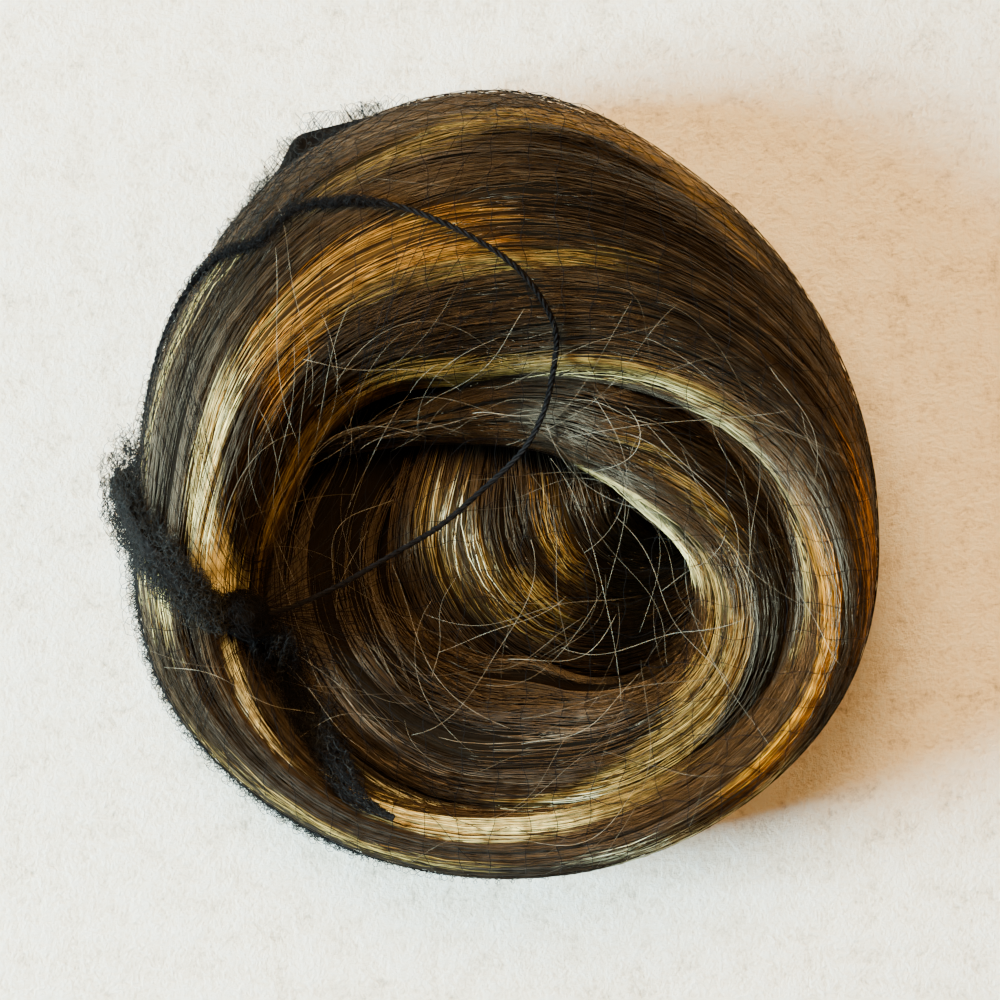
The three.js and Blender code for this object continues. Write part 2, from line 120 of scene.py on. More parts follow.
def mixed(tree, first, second, share):
    """Two grey values mixed, with the given share of the second."""
    node = tree.nodes.new("ShaderNodeMix")
    node.inputs["Factor"].default_value = share
    tree.links.new(first, node.inputs["A"])
    tree.links.new(second, node.inputs["B"])
    return node.outputs["Result"]


print("a middle grey in linear light:", np.round(linear("808080"), 3))

# %% Floor
FLOOR_SIZE = 4.0
FIBRE_SCALE = 850.0
MOTTLE_SCALE = 190.0
MOTTLE_SHARE = 0.42
FELT_COLOURS = [(0.34, "c0b59b"), (0.43, "f0e4c8"), (0.49, "fff5da"), (0.55, "fffae6")]
FELT_RELIEF = 0.004

bpy.ops.mesh.primitive_plane_add(size=FLOOR_SIZE)
floor = bpy.context.object
floor.name = "floor"
felt, felt_tree, felt_shader = new_material("pale_floor")
fibres = noise(felt_tree, object_place(felt_tree), FIBRE_SCALE, 6.0, 0.75)
mottle = noise(felt_tree, object_place(felt_tree), MOTTLE_SCALE)
felt_grey = mixed(felt_tree, fibres, mottle, MOTTLE_SHARE)
felt_colour = ramp(felt_tree, felt_grey, FELT_COLOURS)
felt_tree.links.new(felt_colour, felt_shader.inputs["Base Color"])
felt_shader.inputs["Roughness"].default_value = 0.95
felt_shader.inputs["Specular IOR Level"].default_value = 0.1
bump(felt_tree, felt_shader, felt_grey, 1.0, FELT_RELIEF)
floor.data.materials.append(felt)
print("floor:", FLOOR_SIZE, "m wide,", felt.name)

# %% Lights
AIR_COLOUR = (1.0, 0.53, 0.2, 1)
AIR_STRENGTH = 0.45


def area_light(name, place, size, power, colour):
    """A square soft light that looks at the coil."""
    bpy.ops.object.light_add(type="AREA", location=place)
    lamp = bpy.context.object
    lamp.name = name
    lamp.data.size = size
    lamp.data.energy = power
    lamp.data.color = colour
    lamp.rotation_euler = (-lamp.location).to_track_quat("-Z", "Y").to_euler()
    return lamp


key = area_light("key_light", (-0.88, -0.12, 0.55), 0.38, 132.0, (0.6, 0.86, 1.0))
top = area_light("top_light", (-0.2, 0.45, 1.0), 0.5, 48.0, (1.0, 0.62, 0.27))
warm = area_light("warm_light", (0.9, 0.25, 0.7), 0.9, 13.0, (1.0, 0.55, 0.2))
world = bpy.context.scene.world or bpy.data.worlds.new("studio")
bpy.context.scene.world = world
world.use_nodes = True
air = world.node_tree.nodes["Background"].inputs
air["Color"].default_value = AIR_COLOUR
air["Strength"].default_value = AIR_STRENGTH
print("lights:", [lamp.name for lamp in (key, top, warm)])

# %% [markdown]
# ## The shape of the hank
#
# Hair, cord and net all lie on the same windings, so their shape is needed first. A winding is a
# short table: one row for each section, with the angle round the coil and the size of the section
# there. A smooth curve through the rows gives every place in between. These are the tables and the
# curve of the solid model, so what is made here lies where the solids are. One more table is a lock
# of hair with no solid of its own: it fills the groove between the two turns.

# %% Tables of the windings
SEAT_SHARE = 0.46
DRIFT_PER_TURN = -120.0

# azimuth, outer, inner, top, drift
OUTER_ROWS = [
    (90, 60.8, 16.6, 45, 0),
    (60, 56.0, 18.9, 44, -12),
    (30, 54.6, 26.4, 42, -28),
    (0, 56.4, 40.0, 40, -55),
    (-30, 60.6, 49.0, 38, -95),
    (-60, 60.9, 49.0, 35, -115),
    (-90, 60.6, 49.0, 33, -120),
    (-120, 61.4, 50.0, 33, -120),
    (-150, 62.0, 43.4, 35, -120),
    (-180, 57.2, 32.9, 40, -120),
    (-210, 57.7, 26.0, 43, -120),
    (-240, 60.2, 18.3, 45, -120),
]
# azimuth, radius, height, half width, half height, lean, drift
INNER_ROWS = [
    (155, 41.0, 23, 2.4, 3.5, 0, 0),
    (140, 33.0, 22, 2.8, 3.6, 0, 0),
    (118, 27.4, 20.5, 4.1, 4.2, 0, 0),
    (98, 26.0, 19.5, 5.8, 5.2, 0, 0),
    (80, 25.8, 19, 6.6, 8.5, 0, 0),
    (60, 26.4, 18.5, 8.0, 12.5, 0, 0),
    (30, 29.4, 17, 9.4, 15.0, 0, -20),
    (0, 34.8, 16, 9.4, 15.0, 0, -42),
    (-30, 34.6, 16, 9.0, 14.0, 4, -66),
    (-60, 30.0, 15.5, 11.0, 12.0, 18, -95),
    (-90, 26.0, 15, 14.0, 10.5, 32, -112),
    (-120, 27.5, 14.5, 14.6, 10.5, 34, -115),
    (-150, 30.0, 14, 13.4, 10.0, 36, -115),
    (-180, 31.0, 11, 12.4, 8.5, 34, -115),
    (-210, 30.0, 9, 11.0, 7.5, 26, -115),
    (-240, 27.5, 7.5, 9.5, 6.5, 15, -115),
    (-265, 26.0, 7, 4.0, 4.0, 0, -115),
]
TAIL_ROWS = [
    (150, 27.0, 7, 8.0, 4.0, 6, 0),
    (165, 25.5, 8.5, 16.0, 6.0, 10, 0),
    (180, 24.8, 9.5, 20.0, 7.5, 12, 0),
    (195, 25.5, 10, 22.5, 8.0, 12, 0),
    (212, 25.2, 9.5, 22.5, 7.5, 10, 0),
    (229, 23.8, 8, 21.0, 6.5, 8, 0),
    (248, 20.8, 6.5, 18.0, 5.0, 4, 0),
    (266, 17.2, 5.5, 14.4, 4.2, 0, 0),
    (285, 13.2, 5, 10.8, 3.6, 0, 0),
    (305, 10.0, 5, 7.0, 3.0, 0, 0),
    (320, 9.0, 5, 4.0, 2.5, 0, 0),
]
# the hair in the groove between the two turns, round the inner turn's middle
GROOVE_ROWS = [
    (80, 31.0, 23, 3.5, 3.0, 0, 0),
    (50, 36.0, 24, 5.0, 3.5, 0, 0),
    (20, 39.8, 25, 5.0, 4.0, 0, 0),
    (0, 41.6, 25, 4.5, 4.0, 0, 0),
    (-20, 42.4, 24.5, 4.2, 4.0, 0, 0),
    (-45, 42.0, 23.5, 4.0, 4.0, 0, 0),
    (-75, 40.0, 22, 3.0, 3.0, 0, 0),
]
INNER_MIDDLE = (3.3, -13.6)
TAIL_MIDDLE = (27.0, 1.0)
print("sections:", [len(rows) for rows in (OUTER_ROWS, INNER_ROWS, TAIL_ROWS, GROOVE_ROWS)])


# %% Windings
def curve_through(knots, values, at):
    """A smooth curve through values at rising knots, read at any places: cubic, with even slopes."""
    knots, values = np.asarray(knots, float), np.asarray(values, float)
    slopes = np.empty_like(values)
    slopes[1:-1] = ((values[2:] - values[:-2]).T / (knots[2:] - knots[:-2])).T
    slopes[0] = (values[1] - values[0]) / (knots[1] - knots[0])
    slopes[-1] = (values[-1] - values[-2]) / (knots[-1] - knots[-2])
    i = np.clip(np.searchsorted(knots, at, side="right") - 1, 0, len(knots) - 2)
    span = knots[i + 1] - knots[i]
    t = (at - knots[i]) / span
    if values.ndim > 1:
        t, span = t[..., None], span[..., None]
    return ((2 * t**3 - 3 * t**2 + 1) * values[i] + (t**3 - 2 * t**2 + t) * span * slopes[i]
            + (3 * t**2 - 2 * t**3) * values[i + 1] + (t**3 - t**2) * span * slopes[i + 1])


class Winding:
    """One turn of the hank: a table of sections, read as a smooth surface."""

    NAMES = ("azimuth", "radius", "height", "half_width", "half_height", "lean", "drift")

    def __init__(self, centre, rows):
        table = np.array(sorted(rows), float)
        self.centre = centre
        self.first, self.last = table[0, 0], table[-1, 0]
        self.table = dict(zip(self.NAMES, table.T))

    def column(self, name, azimuth):
        """One column of the table, at any azimuths."""
        return curve_through(self.table["azimuth"], self.table[name], azimuth)

    def place(self, azimuth, angle, lift=0.0, floor=0.0):
        """Points in millimetres: angle goes round the section, 0 outwards and 90 up."""
        azimuth, angle = np.broadcast_arrays(np.asarray(azimuth, float), np.asarray(angle, float))
        turned, around = np.radians(azimuth), np.radians(angle)
        wide, high = self.column("half_width", azimuth), self.column("half_height", azimuth)
        normal = np.stack([np.cos(around) / wide, np.sin(around) / high])
        normal /= np.linalg.norm(normal, axis=0)
        out = wide * np.cos(around) + lift * normal[0]
        up = high * np.sin(around) + lift * normal[1]
        lean = np.radians(self.column("lean", azimuth))
        radius = self.column("radius", azimuth) + out * np.cos(lean) - up * np.sin(lean)
        z = self.column("height", azimuth) + out * np.sin(lean) + up * np.cos(lean)
        x = self.centre[0] + radius * np.cos(turned)
        y = self.centre[1] + radius * np.sin(turned)
        return np.stack([x, y, np.maximum(z, floor)], axis=-1) + COIL_MIDDLE


def ring_sections(rows):
    """The outer table as sections, with some rows repeated past each end so that the ring closes."""
    sections = [(azimuth, (outer + inner) / 2, SEAT_SHARE * top, (outer - inner) / 2,
                 (1 - SEAT_SHARE) * top, 0, drift) for azimuth, outer, inner, top, drift in rows]

    def moved(row, turns):
        return (row[0] - 360 * turns, *row[1:6], row[6] + DRIFT_PER_TURN * turns)

    return ([moved(row, -1) for row in sections[-3:]] + sections
            + [moved(row, 1) for row in sections[:4]])


outer = Winding((0.0, 0.0), ring_sections(OUTER_ROWS))
inner = Winding(INNER_MIDDLE, INNER_ROWS)
tail = Winding(TAIL_MIDDLE, TAIL_ROWS)
between = Winding(INNER_MIDDLE, GROOVE_ROWS)
print("outer turn's top at the far side:", np.round(outer.place(90.0, 90.0), 1))

# %% [markdown]
# ## Threads and hairs from arrays
#
# Hair, net and cord are thousands of thin round things. Adding each by an operator would take hours,
# so they are tubes that are worked out together: an array of paths goes in, and one joined mesh comes
# out. Each tube is closed, has three sides or more, and owns one row of the piece's colour map.

# %% Tubes
def tubes(paths, radius, sides=3):
    """Closed tubes along paths of shape (tubes, points, 3): points, side faces and end faces."""
    along = np.gradient(paths, axis=1)
    along /= np.linalg.norm(along, axis=2, keepdims=True)
    across = np.cross(along[:, 0], (0.31, 0.17, 0.93))
    frames = []
    for step in range(paths.shape[1]):
        across = across - along[:, step] * np.sum(across * along[:, step], axis=1, keepdims=True)
        across = across / np.linalg.norm(across, axis=1, keepdims=True)
        frames.append(across)
    across = np.stack(frames, axis=1)
    other = np.cross(along, across)
    turned = 2 * np.pi * np.arange(sides) / sides
    ring = (across[:, :, None] * np.cos(turned)[:, None] + other[:, :, None] * np.sin(turned)[:, None])
    wide = np.broadcast_to(np.asarray(radius, float), paths.shape[:2])
    points = paths[:, :, None] + ring * wide[..., None, None]
    index = np.arange(points[..., 0].size).reshape(points.shape[:3])
    a, b = index[:, :-1], index[:, 1:]
    quads = np.stack([a, np.roll(a, -1, 2), np.roll(b, -1, 2), b], axis=-1).reshape(-1, 4)
    ends = np.concatenate([index[:, 0, ::-1], index[:, -1]])
    return points.reshape(-1, 3), quads, ends


def tube_map(count, length, sides):
    """Corners of the colour map: a row for each tube, its length along u."""
    steps = (np.arange(count), np.arange(length - 1), np.arange(sides))
    tube, step, side = np.meshgrid(*steps, indexing="ij")
    u = np.stack([step, step, step + 1, step + 1], axis=-1) / (length - 1)
    v = (tube[..., None] + np.stack([side, side + 1, side + 1, side], axis=-1) / sides) / count
    caps = np.zeros((2, count, sides, 2))
    caps[1, ..., 0] = 1
    caps[..., 1] = (np.arange(count)[:, None] + np.arange(sides) / sides) / count
    return np.concatenate([np.stack([u, v], axis=-1).reshape(-1, 2), caps.reshape(-1, 2)])


one_tube = tubes(np.array([[[0, 0, 0], [1, 0, 0]]], float), 0.1)
print("a tube of two points has", len(one_tube[1]), "side faces")


# %% One mesh from many tubes
def joined_mesh(name, points, quads, ends, material):
    """One object at the origin from points in millimetres, four-sided faces and end faces."""
    mesh = bpy.data.meshes.new(name)
    mesh.vertices.add(len(points))
    mesh.vertices.foreach_set("co", (points * MM).astype(np.float32).ravel())
    corners = np.concatenate([quads.ravel(), ends.ravel()]).astype(np.int32)
    starts = np.concatenate([4 * np.arange(len(quads)),
                             quads.size + ends.shape[1] * np.arange(len(ends))]).astype(np.int32)
    mesh.loops.add(len(corners))
    mesh.loops.foreach_set("vertex_index", corners)
    mesh.polygons.add(len(starts))
    mesh.polygons.foreach_set("loop_start", starts)
    mesh.update(calc_edges=True)
    mesh.shade_smooth()
    mesh.materials.append(material)
    made = bpy.data.objects.new(name, mesh)
    bpy.context.scene.collection.objects.link(made)
    return made


def tube_piece(name, batches, material, colours=None):
    """Batches of (paths, radius, sides) as one piece; colours holds one array for each batch."""
    points, quads, ends, maps, offset = [], [], [], [], 0
    rows = sum(len(paths) for paths, _, _ in batches)
    row = 0
    for paths, radius, sides in batches:
        p, q, e = tubes(paths, radius, sides)
        points.append(p)
        quads.append(q + offset)
        ends.append(e + offset)
        corner_map = tube_map(*paths.shape[:2], sides)
        corner_map[:, 1] = (row + corner_map[:, 1] * len(paths)) / rows
        maps.append((corner_map[:q.size], corner_map[q.size:]))
        offset += len(p)
        row += len(paths)
    made = joined_mesh(name, *(np.concatenate(part) for part in (points, quads, ends)), material)
    corners = np.concatenate([side for side, _ in maps] + [end for _, end in maps])
    layer = made.data.uv_layers.new(name="OFBake")
    layer.data.foreach_set("uv", corners.astype(np.float32).ravel())
    if colours is not None:
        shown = [np.repeat(c.reshape(-1, 3), sides, axis=0) for c, (_, _, sides) in zip(colours, batches)]
        paint(made, np.concatenate(shown))
    return made


def paint(piece, colours):
    """The piece's own colour at each point, for its material to read."""
    layer = piece.data.color_attributes.new("hair_colour", "FLOAT_COLOR", "POINT")
    opaque = np.concatenate([colours, np.ones((len(colours), 1))], axis=1)
    layer.data.foreach_set("color", opaque.astype(np.float32).ravel())


def triangles(piece):
    """How many triangles a piece's faces make."""
    return len(piece.data.loops) - 2 * len(piece.data.polygons)


def smooth_path(points, count):
    """A smooth line through a few points, at evenly spread places along it."""
    points = np.asarray(points, float)
    knots = np.concatenate([[0], np.cumsum(np.linalg.norm(np.diff(points, axis=0), axis=1))])
    return curve_through(knots, points, np.linspace(0, knots[-1], count))


bent_line = smooth_path([(0, 0, 0), (1, 0, 0), (1, 1, 0)], 5)
print("a bent line of five points:", np.round(bent_line[:, :2], 2).tolist())

# %% [markdown]
# ## The edge cord
#
# The net's edge is a thin black cord. It comes out of the knot, hangs slack across the bowl, climbs
# over the outer turn and goes down its left wall under the gathered band. A bevelled curve would be
# smooth, but the real cord is three plies twisted together, so each ply is a tube that winds round
# the route. The route's points are the same as in the solid model.

# %% Net thread
NET_BLACK = [(0.3, "020202"), (0.7, "0a0909")]
NET_GREY = [(0.36, "020202"), (0.66, "191a18")]
LINT_SCALE = 1500.0
THREAD_ROUGHNESS = 0.72


def thread_material(name, gloss, stops):
    """Matt black thread with lint of a slightly lighter shade."""
    made, tree, shader = new_material(name)
    lint = noise(tree, object_place(tree), LINT_SCALE)
    tree.links.new(ramp(tree, lint, stops), shader.inputs["Base Color"])
    shader.inputs["Roughness"].default_value = THREAD_ROUGHNESS
    shader.inputs["Specular IOR Level"].default_value = gloss
    return made


net_thread = thread_material("net_thread", 0.04, NET_BLACK)
fine_thread = thread_material("fine_thread", 0.09, NET_GREY)
print("threads:", net_thread.name, fine_thread.name)

# %% Cord
CORD_DIAMETER = 0.95
CORD_GAP = 0.35
CORD_PLIES = 3
PLIES_ACROSS = 2.15
CORD_PITCH = 4.2
CORD_STEP = 0.55
CORD_ROUTE = [
    (-36.6, -19.4, 33.6), (-31.8, -17.8, 31.2), (-25.8, -15.0, 28.2), (-18.2, -10.6, 25.4),
    (-10.6, -6.0, 24.2), (-4.5, -0.8, 24.6), (0.2, 3.5, 26.2), (3.2, 7.1, 28.4), (5.4, 11.9, 31.0),
    (6.6, 17.3, 34.4), (7.0, 22.7, 39.2), (5.2, 27.2, 43.4), (1.6, 31.9, 45.8), (-3.6, 35.8, 46.6),
    (-10.2, 39.2, 46.4), (-16.8, 41.6, 45.5), (-24.3, 42.4, 43.8), (-31.9, 41.4, 40.8),
]
# azimuth and angle of the stretch that lies on the outer turn's wall
CORD_ON_WALL = [(-225, 52), (-219, 36), (-213, 22), (-206, 11), (-199, 3), (-192, -3), (-187, -8)]

on_wall = np.array(CORD_ON_WALL, float)
cord_points = np.concatenate([
    np.array(CORD_ROUTE) + COIL_MIDDLE,
    outer.place(on_wall[:, 0], on_wall[:, 1], CORD_DIAMETER / 2 + CORD_GAP),
])
cord_length = np.linalg.norm(np.diff(smooth_path(cord_points, 400), axis=0), axis=1).sum()
cord_line = smooth_path(cord_points, int(cord_length / CORD_STEP))


def twisted(line, plies, pitch, radius):
    """Lines that wind round one line, evenly spread, with the given pitch and radius."""
    along = np.gradient(line, axis=0)
    along /= np.linalg.norm(along, axis=1, keepdims=True)
    across = np.cross(along, (0.0, 0.0, 1.0))
    across /= np.linalg.norm(across, axis=1, keepdims=True)
    other = np.cross(along, across)
    gone = np.concatenate([[0], np.cumsum(np.linalg.norm(np.diff(line, axis=0), axis=1))])
    turned = 2 * np.pi * (gone / pitch + np.arange(plies)[:, None] / plies)
    return line + radius * (across * np.cos(turned)[..., None] + other * np.sin(turned)[..., None])


ply_radius = CORD_DIAMETER / PLIES_ACROSS / 2
plies = twisted(cord_line, CORD_PLIES, CORD_PITCH, CORD_DIAMETER / 2 - ply_radius)
edge_cord = tube_piece("edge_cord", [(plies, ply_radius, 6)], net_thread)
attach(edge_cord, "root")
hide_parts("net_cord")
print("edge cord:", round(cord_length, 1), "mm long,", triangles(edge_cord), "triangles")

# %% [markdown]
# ## Streaks
#
# The hair is dark brown with lighter streaks: copper and gold over the top, pale blonde down the left
# side, round the bowl and along the near edge. A streak follows the hair, so it could be a separate
# lock. Dyed hair fades from lock to lock instead, so each streak is a route across the coil as seen
# from above, and a hair takes the streak's colour the more likely the closer it lies to the route.
# Some routes paint shade rather than dye: the near-black and dark rows over the bowl, the hollow under
# the overhang, the valley between the turns and the gap in the tail.

# %% Colours and routes
SHADES = {
    # painted shadow: near black where the bowl and the tail lie deep and unlit
    "painted_shadow": linear("010101"),
    "black_brown": linear("0c0907"),
    "dark_brown": linear("17120d"),
    "brown": linear("2d2418"),
    # painted shade: a dark neutral for the shaded valley and bowl
    "painted_shade_grey": linear("25231f"),
    "ash": linear("564d3e"),
    "copper": linear("885e20"),
    "orange": linear("a07208"),
    "gold": linear("75602c"),
    "honey": linear("948044"),
    "blonde": linear("dece82"),
    "pale": linear("eef4c4"),
}

# winding, shade, half width, strength, route (x and y from the coil's middle at the bowl's level)
STREAKS = [
    # painted shade in the next seven rows: near black in the deep left of the bowl, black-brown on the
    # bowl's shaded right wall (partly dark hair there) and in the hollow under the overhang, darker brown
    # and dark grey over the bowl and the valley between the turns
    ("inner", "painted_shadow", 7, 0.97, [(-29, -16), (-28, -8), (-22, 4), (-12, 10), (4, 12), (10, 11)]),
    ("inner", "black_brown", 5, 0.9, [(20, 2), (25, -6), (27, -15), (26, -24), (20, -30)]),
    ("inner", "black_brown", 5, 0.9, [(-4, 11), (6, 12), (14, 10.5), (22, 6), (28, 0)]),
    ("inner", "dark_brown", 7, 0.6, [(22, -30), (8, -38), (-8, -40), (-24, -32)]),
    ("inner", "painted_shade_grey", 8, 0.7, [(-31, -18), (-28, -30), (-18, -39), (-4, -43), (10, -41), (20, -34)]),
    ("outer", "painted_shade_grey", 4.5, 0.7, [(-42, -16), (-39, -28), (-33, -38), (-24, -46), (-12, -51)]),
    ("outer", "painted_shade_grey", 5, 0.7, [(-48, -32), (-36, -44), (-20, -53), (0, -56.5), (18, -54), (34, -45)]),
    # painted shadow on the tail: its right edge under the inner turn's lip and its top under the overhang
    ("tail", "painted_shadow", 7, 0.97, [(24, 6), (21, -6), (20, -16), (18, -24), (8, -28)]),
    ("tail", "painted_shadow", 4.5, 0.97, [(-18, 9), (-8, 8), (4, 7.5), (16, 6), (24, 2)]),
    ("outer", "black_brown", 3, 0.7, [(-22, 21), (-10, 25.5), (4, 27.8), (16, 27.8), (28, 24)]),
    ("outer", "gold", 1.5, 0.8, [(-33, 42), (-27.7, 46.8), (-16.9, 52.2), (-4.5, 56.6), (7.9, 57.7),
        (20.3, 53), (28.1, 46.8), (35.8, 38.3), (40, 33)]),
    ("outer", "copper", 4.4, 0.8, [(-39.5, 10), (-37, 21.2), (-30.8, 29), (-21.5, 36), (-10.7, 39.1),
        (3, 39.4)]),
    ("outer", "gold", 1.3, 0.5, [(-30, 24), (-24.6, 29), (-12.2, 33), (1.7, 35.2), (14.1, 36),
        (24, 34)]),
    ("outer", "gold", 1.4, 0.75, [(-26, 7), (-12.2, 15), (1.7, 18.9), (14.1, 18.9), (28.1, 15.8),
        (35.8, 7.3), (40, 0)]),
    ("outer", "gold", 1.7, 0.9, [(-37.4, -15), (-36.8, -9), (-35.5, -2), (-31.5, 7), (-25, 13.4),
        (-17.5, 17.2), (-10, 18.4), (0, 19)]),
    ("outer", "honey", 1.2, 0.4, [(-31, 33), (-38.6, 24.3), (-44, 15), (-47, 6)]),
    ("outer", "blonde", 2.2, 0.95, [(-41.5, 19), (-44.5, 13), (-47, 5), (-47.4, -5.1), (-44.5, -13.6),
        (-41, -22)]),
    ("outer", "blonde", 0.6, 0.3, [(-34, 42.5), (-42, 36.5), (-49.5, 27), (-53.2, 18), (-55.8, 9),
        (-57.3, 0)]),
    ("outer", "pale", 0.6, 0.6, [(-45.5, -18), (-43.7, -24.5), (-41.6, -31.5), (-39, -37),
        (-36, -41.4)]),
    ("outer", "honey", 0.8, 0.32, [(-57, -24), (-55.6, -31.5), (-47.9, -40), (-37, -47.7),
        (-24.6, -54.7), (-10.7, -58.1), (2, -59)]),
    ("outer", "blonde", 1.5, 0.75, [(-58.5, -11), (-57, -14.5), (-54.5, -17.5), (-51.5, -20.5)]),
    ("outer", "black_brown", 2.6, 0.8, [(38.5, -6), (42, -15), (42, -23), (39, -31), (33, -40),
        (22, -48.5), (8, -54.5)]),
    ("outer", "blonde", 0.65, 0.85, [(2, 17.8), (9.5, 17.4), (18, 16.8), (26.5, 15), (35, 8.1),
        (42.5, -1.2), (45.6, -9.8), (45.6, -17), (44.8, -25)]),
    ("outer", "orange", 1.6, 0.95, [(45, -2), (48.2, -9.8), (50.2, -19.1), (48.4, -29.9), (44, -37.7),
        (38.9, -44.6), (33, -50.5)]),
    ("outer", "pale", 1, 0.55, [(45, -40), (40, -47), (33, -52.4), (24, -55.8), (14, -57.5)]),
    ("outer", "copper", 1.4, 0.4, [(50, 30), (52.7, 22), (54.4, 5.7), (55.9, -17.5), (53.5, -30)]),
    ("outer", "gold", 1.8, 0.75, [(28, -40), (20.3, -46.5), (14.1, -49.8), (7.9, -51.8), (0, -53.4),
        (-8, -53.6)]),
    ("outer", "blonde", 1.5, 0.9, [(12, -50.6), (6, -52.2), (0, -53.2), (-6, -53.4), (-11, -52.8),
        (-17, -51), (-23, -47.8)]),
    ("inner", "blonde", 1.1, 0.95, [(4, 3.6), (12.6, 1.1), (21.9, -4.3), (28.1, -11.3), (33.5, -17.5),
        (35, -24)]),
    ("inner", "gold", 3.8, 0.8, [(33, -14), (34.5, -22), (30, -33), (24, -41.5), (15, -48.5), (4, -52),
        (-6, -52)]),
    ("inner", "honey", 1.4, 0.5, [(26, -6), (30.5, -12), (33, -19), (32.5, -26), (29, -33), (24, -40)]),
    ("inner", "honey", 2, 0.45, [(33, -25), (31, -31), (27, -38), (19, -45), (10, -49)]),
    ("inner", "pale", 2.4, 0.95, [(16, -48.5), (8, -51.4), (-1, -52.8), (-9.1, -52.4), (-18, -49.7),
        (-23, -47.2)]),
    ("inner", "gold", 1.6, 0.5, [(16, 9), (21.9, 5), (28, 0), (33, -6), (36, -13)]),
    ("inner", "ash", 1.2, 0.35, [(-30, -27), (-24, -35), (-14, -39), (-2, -40.5), (9, -38), (18, -32)]),
    ("inner", "ash", 1.2, 0.4, [(-27, -37), (-20, -42), (-10, -45.5), (2, -46.5), (12, -44)]),
    ("tail", "gold", 4.4, 0.62, [(-10, 4), (-11, -2), (-9, -8.5), (-5, -14), (1.5, -18.3),
        (9.5, -20.5)]),
    ("tail", "pale", 2.4, 0.42, [(-9.5, 1), (-9.6, -3), (-8.6, -7), (-6.4, -11), (-2.5, -15.5)]),
    ("tail", "gold", 2.3, 0.75, [(5.5, 3), (5.8, -1.5), (6.6, -6), (8.4, -10.5), (11, -14.5)]),
    # painted shadow in the gap between the tail's two tufts
    ("tail", "painted_shadow", 0.9, 0.9, [(0.6, 3), (1.4, -2), (2.2, -7), (4.4, -12)]),
]
ROUTE_POINTS = 48
STREAK_FEATHER = 1.3
STREAK_FADE = 0.2
CHANCE_BLEND = 0.2
FAINT_SHARE = 0.1


def seen_from_above(points):
    """Where points show from the camera's height, at the level of the bowl, from the coil's middle."""
    shift = (CAMERA_PLACE[2] - VIEW_LEVEL) / (CAMERA_PLACE[2] - points[..., 2:])
    seen = CAMERA_PLACE[:2] + (points[..., :2] - CAMERA_PLACE[:2]) * shift
    return seen - COIL_MIDDLE[:2]


def streak_reach(seen, half_width, route):
    """How well places lie in a streak: 1 in its middle, fading out at its sides and its two ends."""
    line = smooth_path(np.array(route), ROUTE_POINTS)
    away = np.full(seen.shape[:-1], 1e9)
    gone = np.zeros(seen.shape[:-1])
    for step, spot in enumerate(line):
        near = np.sum((seen - spot) ** 2, axis=-1)
        gone = np.where(near < away, step / (len(line) - 1), gone)
        away = np.minimum(away, near)
    side = np.clip((half_width - np.sqrt(away)) / STREAK_FEATHER + 0.5, 0, 1)
    return side * np.clip(np.minimum(gone, 1 - gone) / STREAK_FADE, 0, 1)


def hair_colours(winding, points, own, chance=None, tone=1.0):
    """Colours at points (hairs, points, 3): each hair's own shade, mixed with the streaks near it.

    A hair with a low chance takes up a streak early, one with a high chance only in its middle."""
    seen = seen_from_above(points)
    colours = np.broadcast_to(own[:, None], points.shape).copy()
    for name, shade, half_width, strength, route in STREAKS:
        if name != winding:
            continue
        share = strength * streak_reach(seen, half_width, route)
        if chance is not None:
            taken = np.clip((share - chance[:, None]) / CHANCE_BLEND + 0.5, 0, 1)
            share = taken * np.minimum(share / FAINT_SHARE, 1)
        colours = colours * (1 - share[..., None]) + SHADES[shade] * tone * share[..., None]
    return colours


print(len(STREAKS), "streaks in", len(SHADES), "shades")

# %% [markdown]
# ## The body of the hair
#
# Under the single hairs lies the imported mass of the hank. For the ring a torus is added and each of
# its points is sent to the section at its own azimuth and angle. The open windings start as a sphere
# in the same way: its rings become sections and its poles become the two ends. The inner turn and the
# tail are then cut back from their neighbours with a Boolean modifier, as the solids are. A map along
# the hair lets the material draw fine lines that follow the winding.

# %% Hair materials
FINE_LINES = (0.03, 1.9, 1.0)
WARM_GLOSS = (1.0, 0.76, 0.46, 1.0)


def hair_material(name, roughness, gloss):
    """Hair that takes its colour from its own attribute; returns also the colour to be shaded."""
    made, tree, shader = new_material(name)
    colour = tree.nodes.new("ShaderNodeAttribute")
    colour.attribute_name = "hair_colour"
    shade = tree.nodes.new("ShaderNodeMix")
    shade.data_type = "RGBA"
    shade.blend_type = "MULTIPLY"
    shade.inputs["Factor"].default_value = 1.0
    tree.links.new(colour.outputs["Color"], shade.inputs["A"])
    tree.links.new(shade.outputs["Result"], shader.inputs["Base Color"])
    shader.inputs["Roughness"].default_value = roughness
    shader.inputs["Specular IOR Level"].default_value = gloss
    shader.inputs["Specular Tint"].default_value = WARM_GLOSS
    return made, tree, shader, shade.inputs["B"]


combed, combed_tree, combed_shader, combed_shade = hair_material("combed_hair", 0.7, 0.06)
flow = combed_tree.nodes.new("ShaderNodeUVMap")
flow.uv_map = "flow"
stretch = combed_tree.nodes.new("ShaderNodeMapping")
stretch.inputs["Scale"].default_value = FINE_LINES
combed_tree.links.new(flow.outputs["UV"], stretch.inputs["Vector"])
fine_lines = noise(combed_tree, stretch.outputs["Vector"], 1.0, 5.0, 0.75)
line_shades = ramp(combed_tree, fine_lines, [(0.34, "241f1b"), (0.5, "7d756d"), (0.66, "ffffff")])
combed_tree.links.new(line_shades, combed_shade)
bump(combed_tree, combed_shader, fine_lines, 0.8, 0.0004)

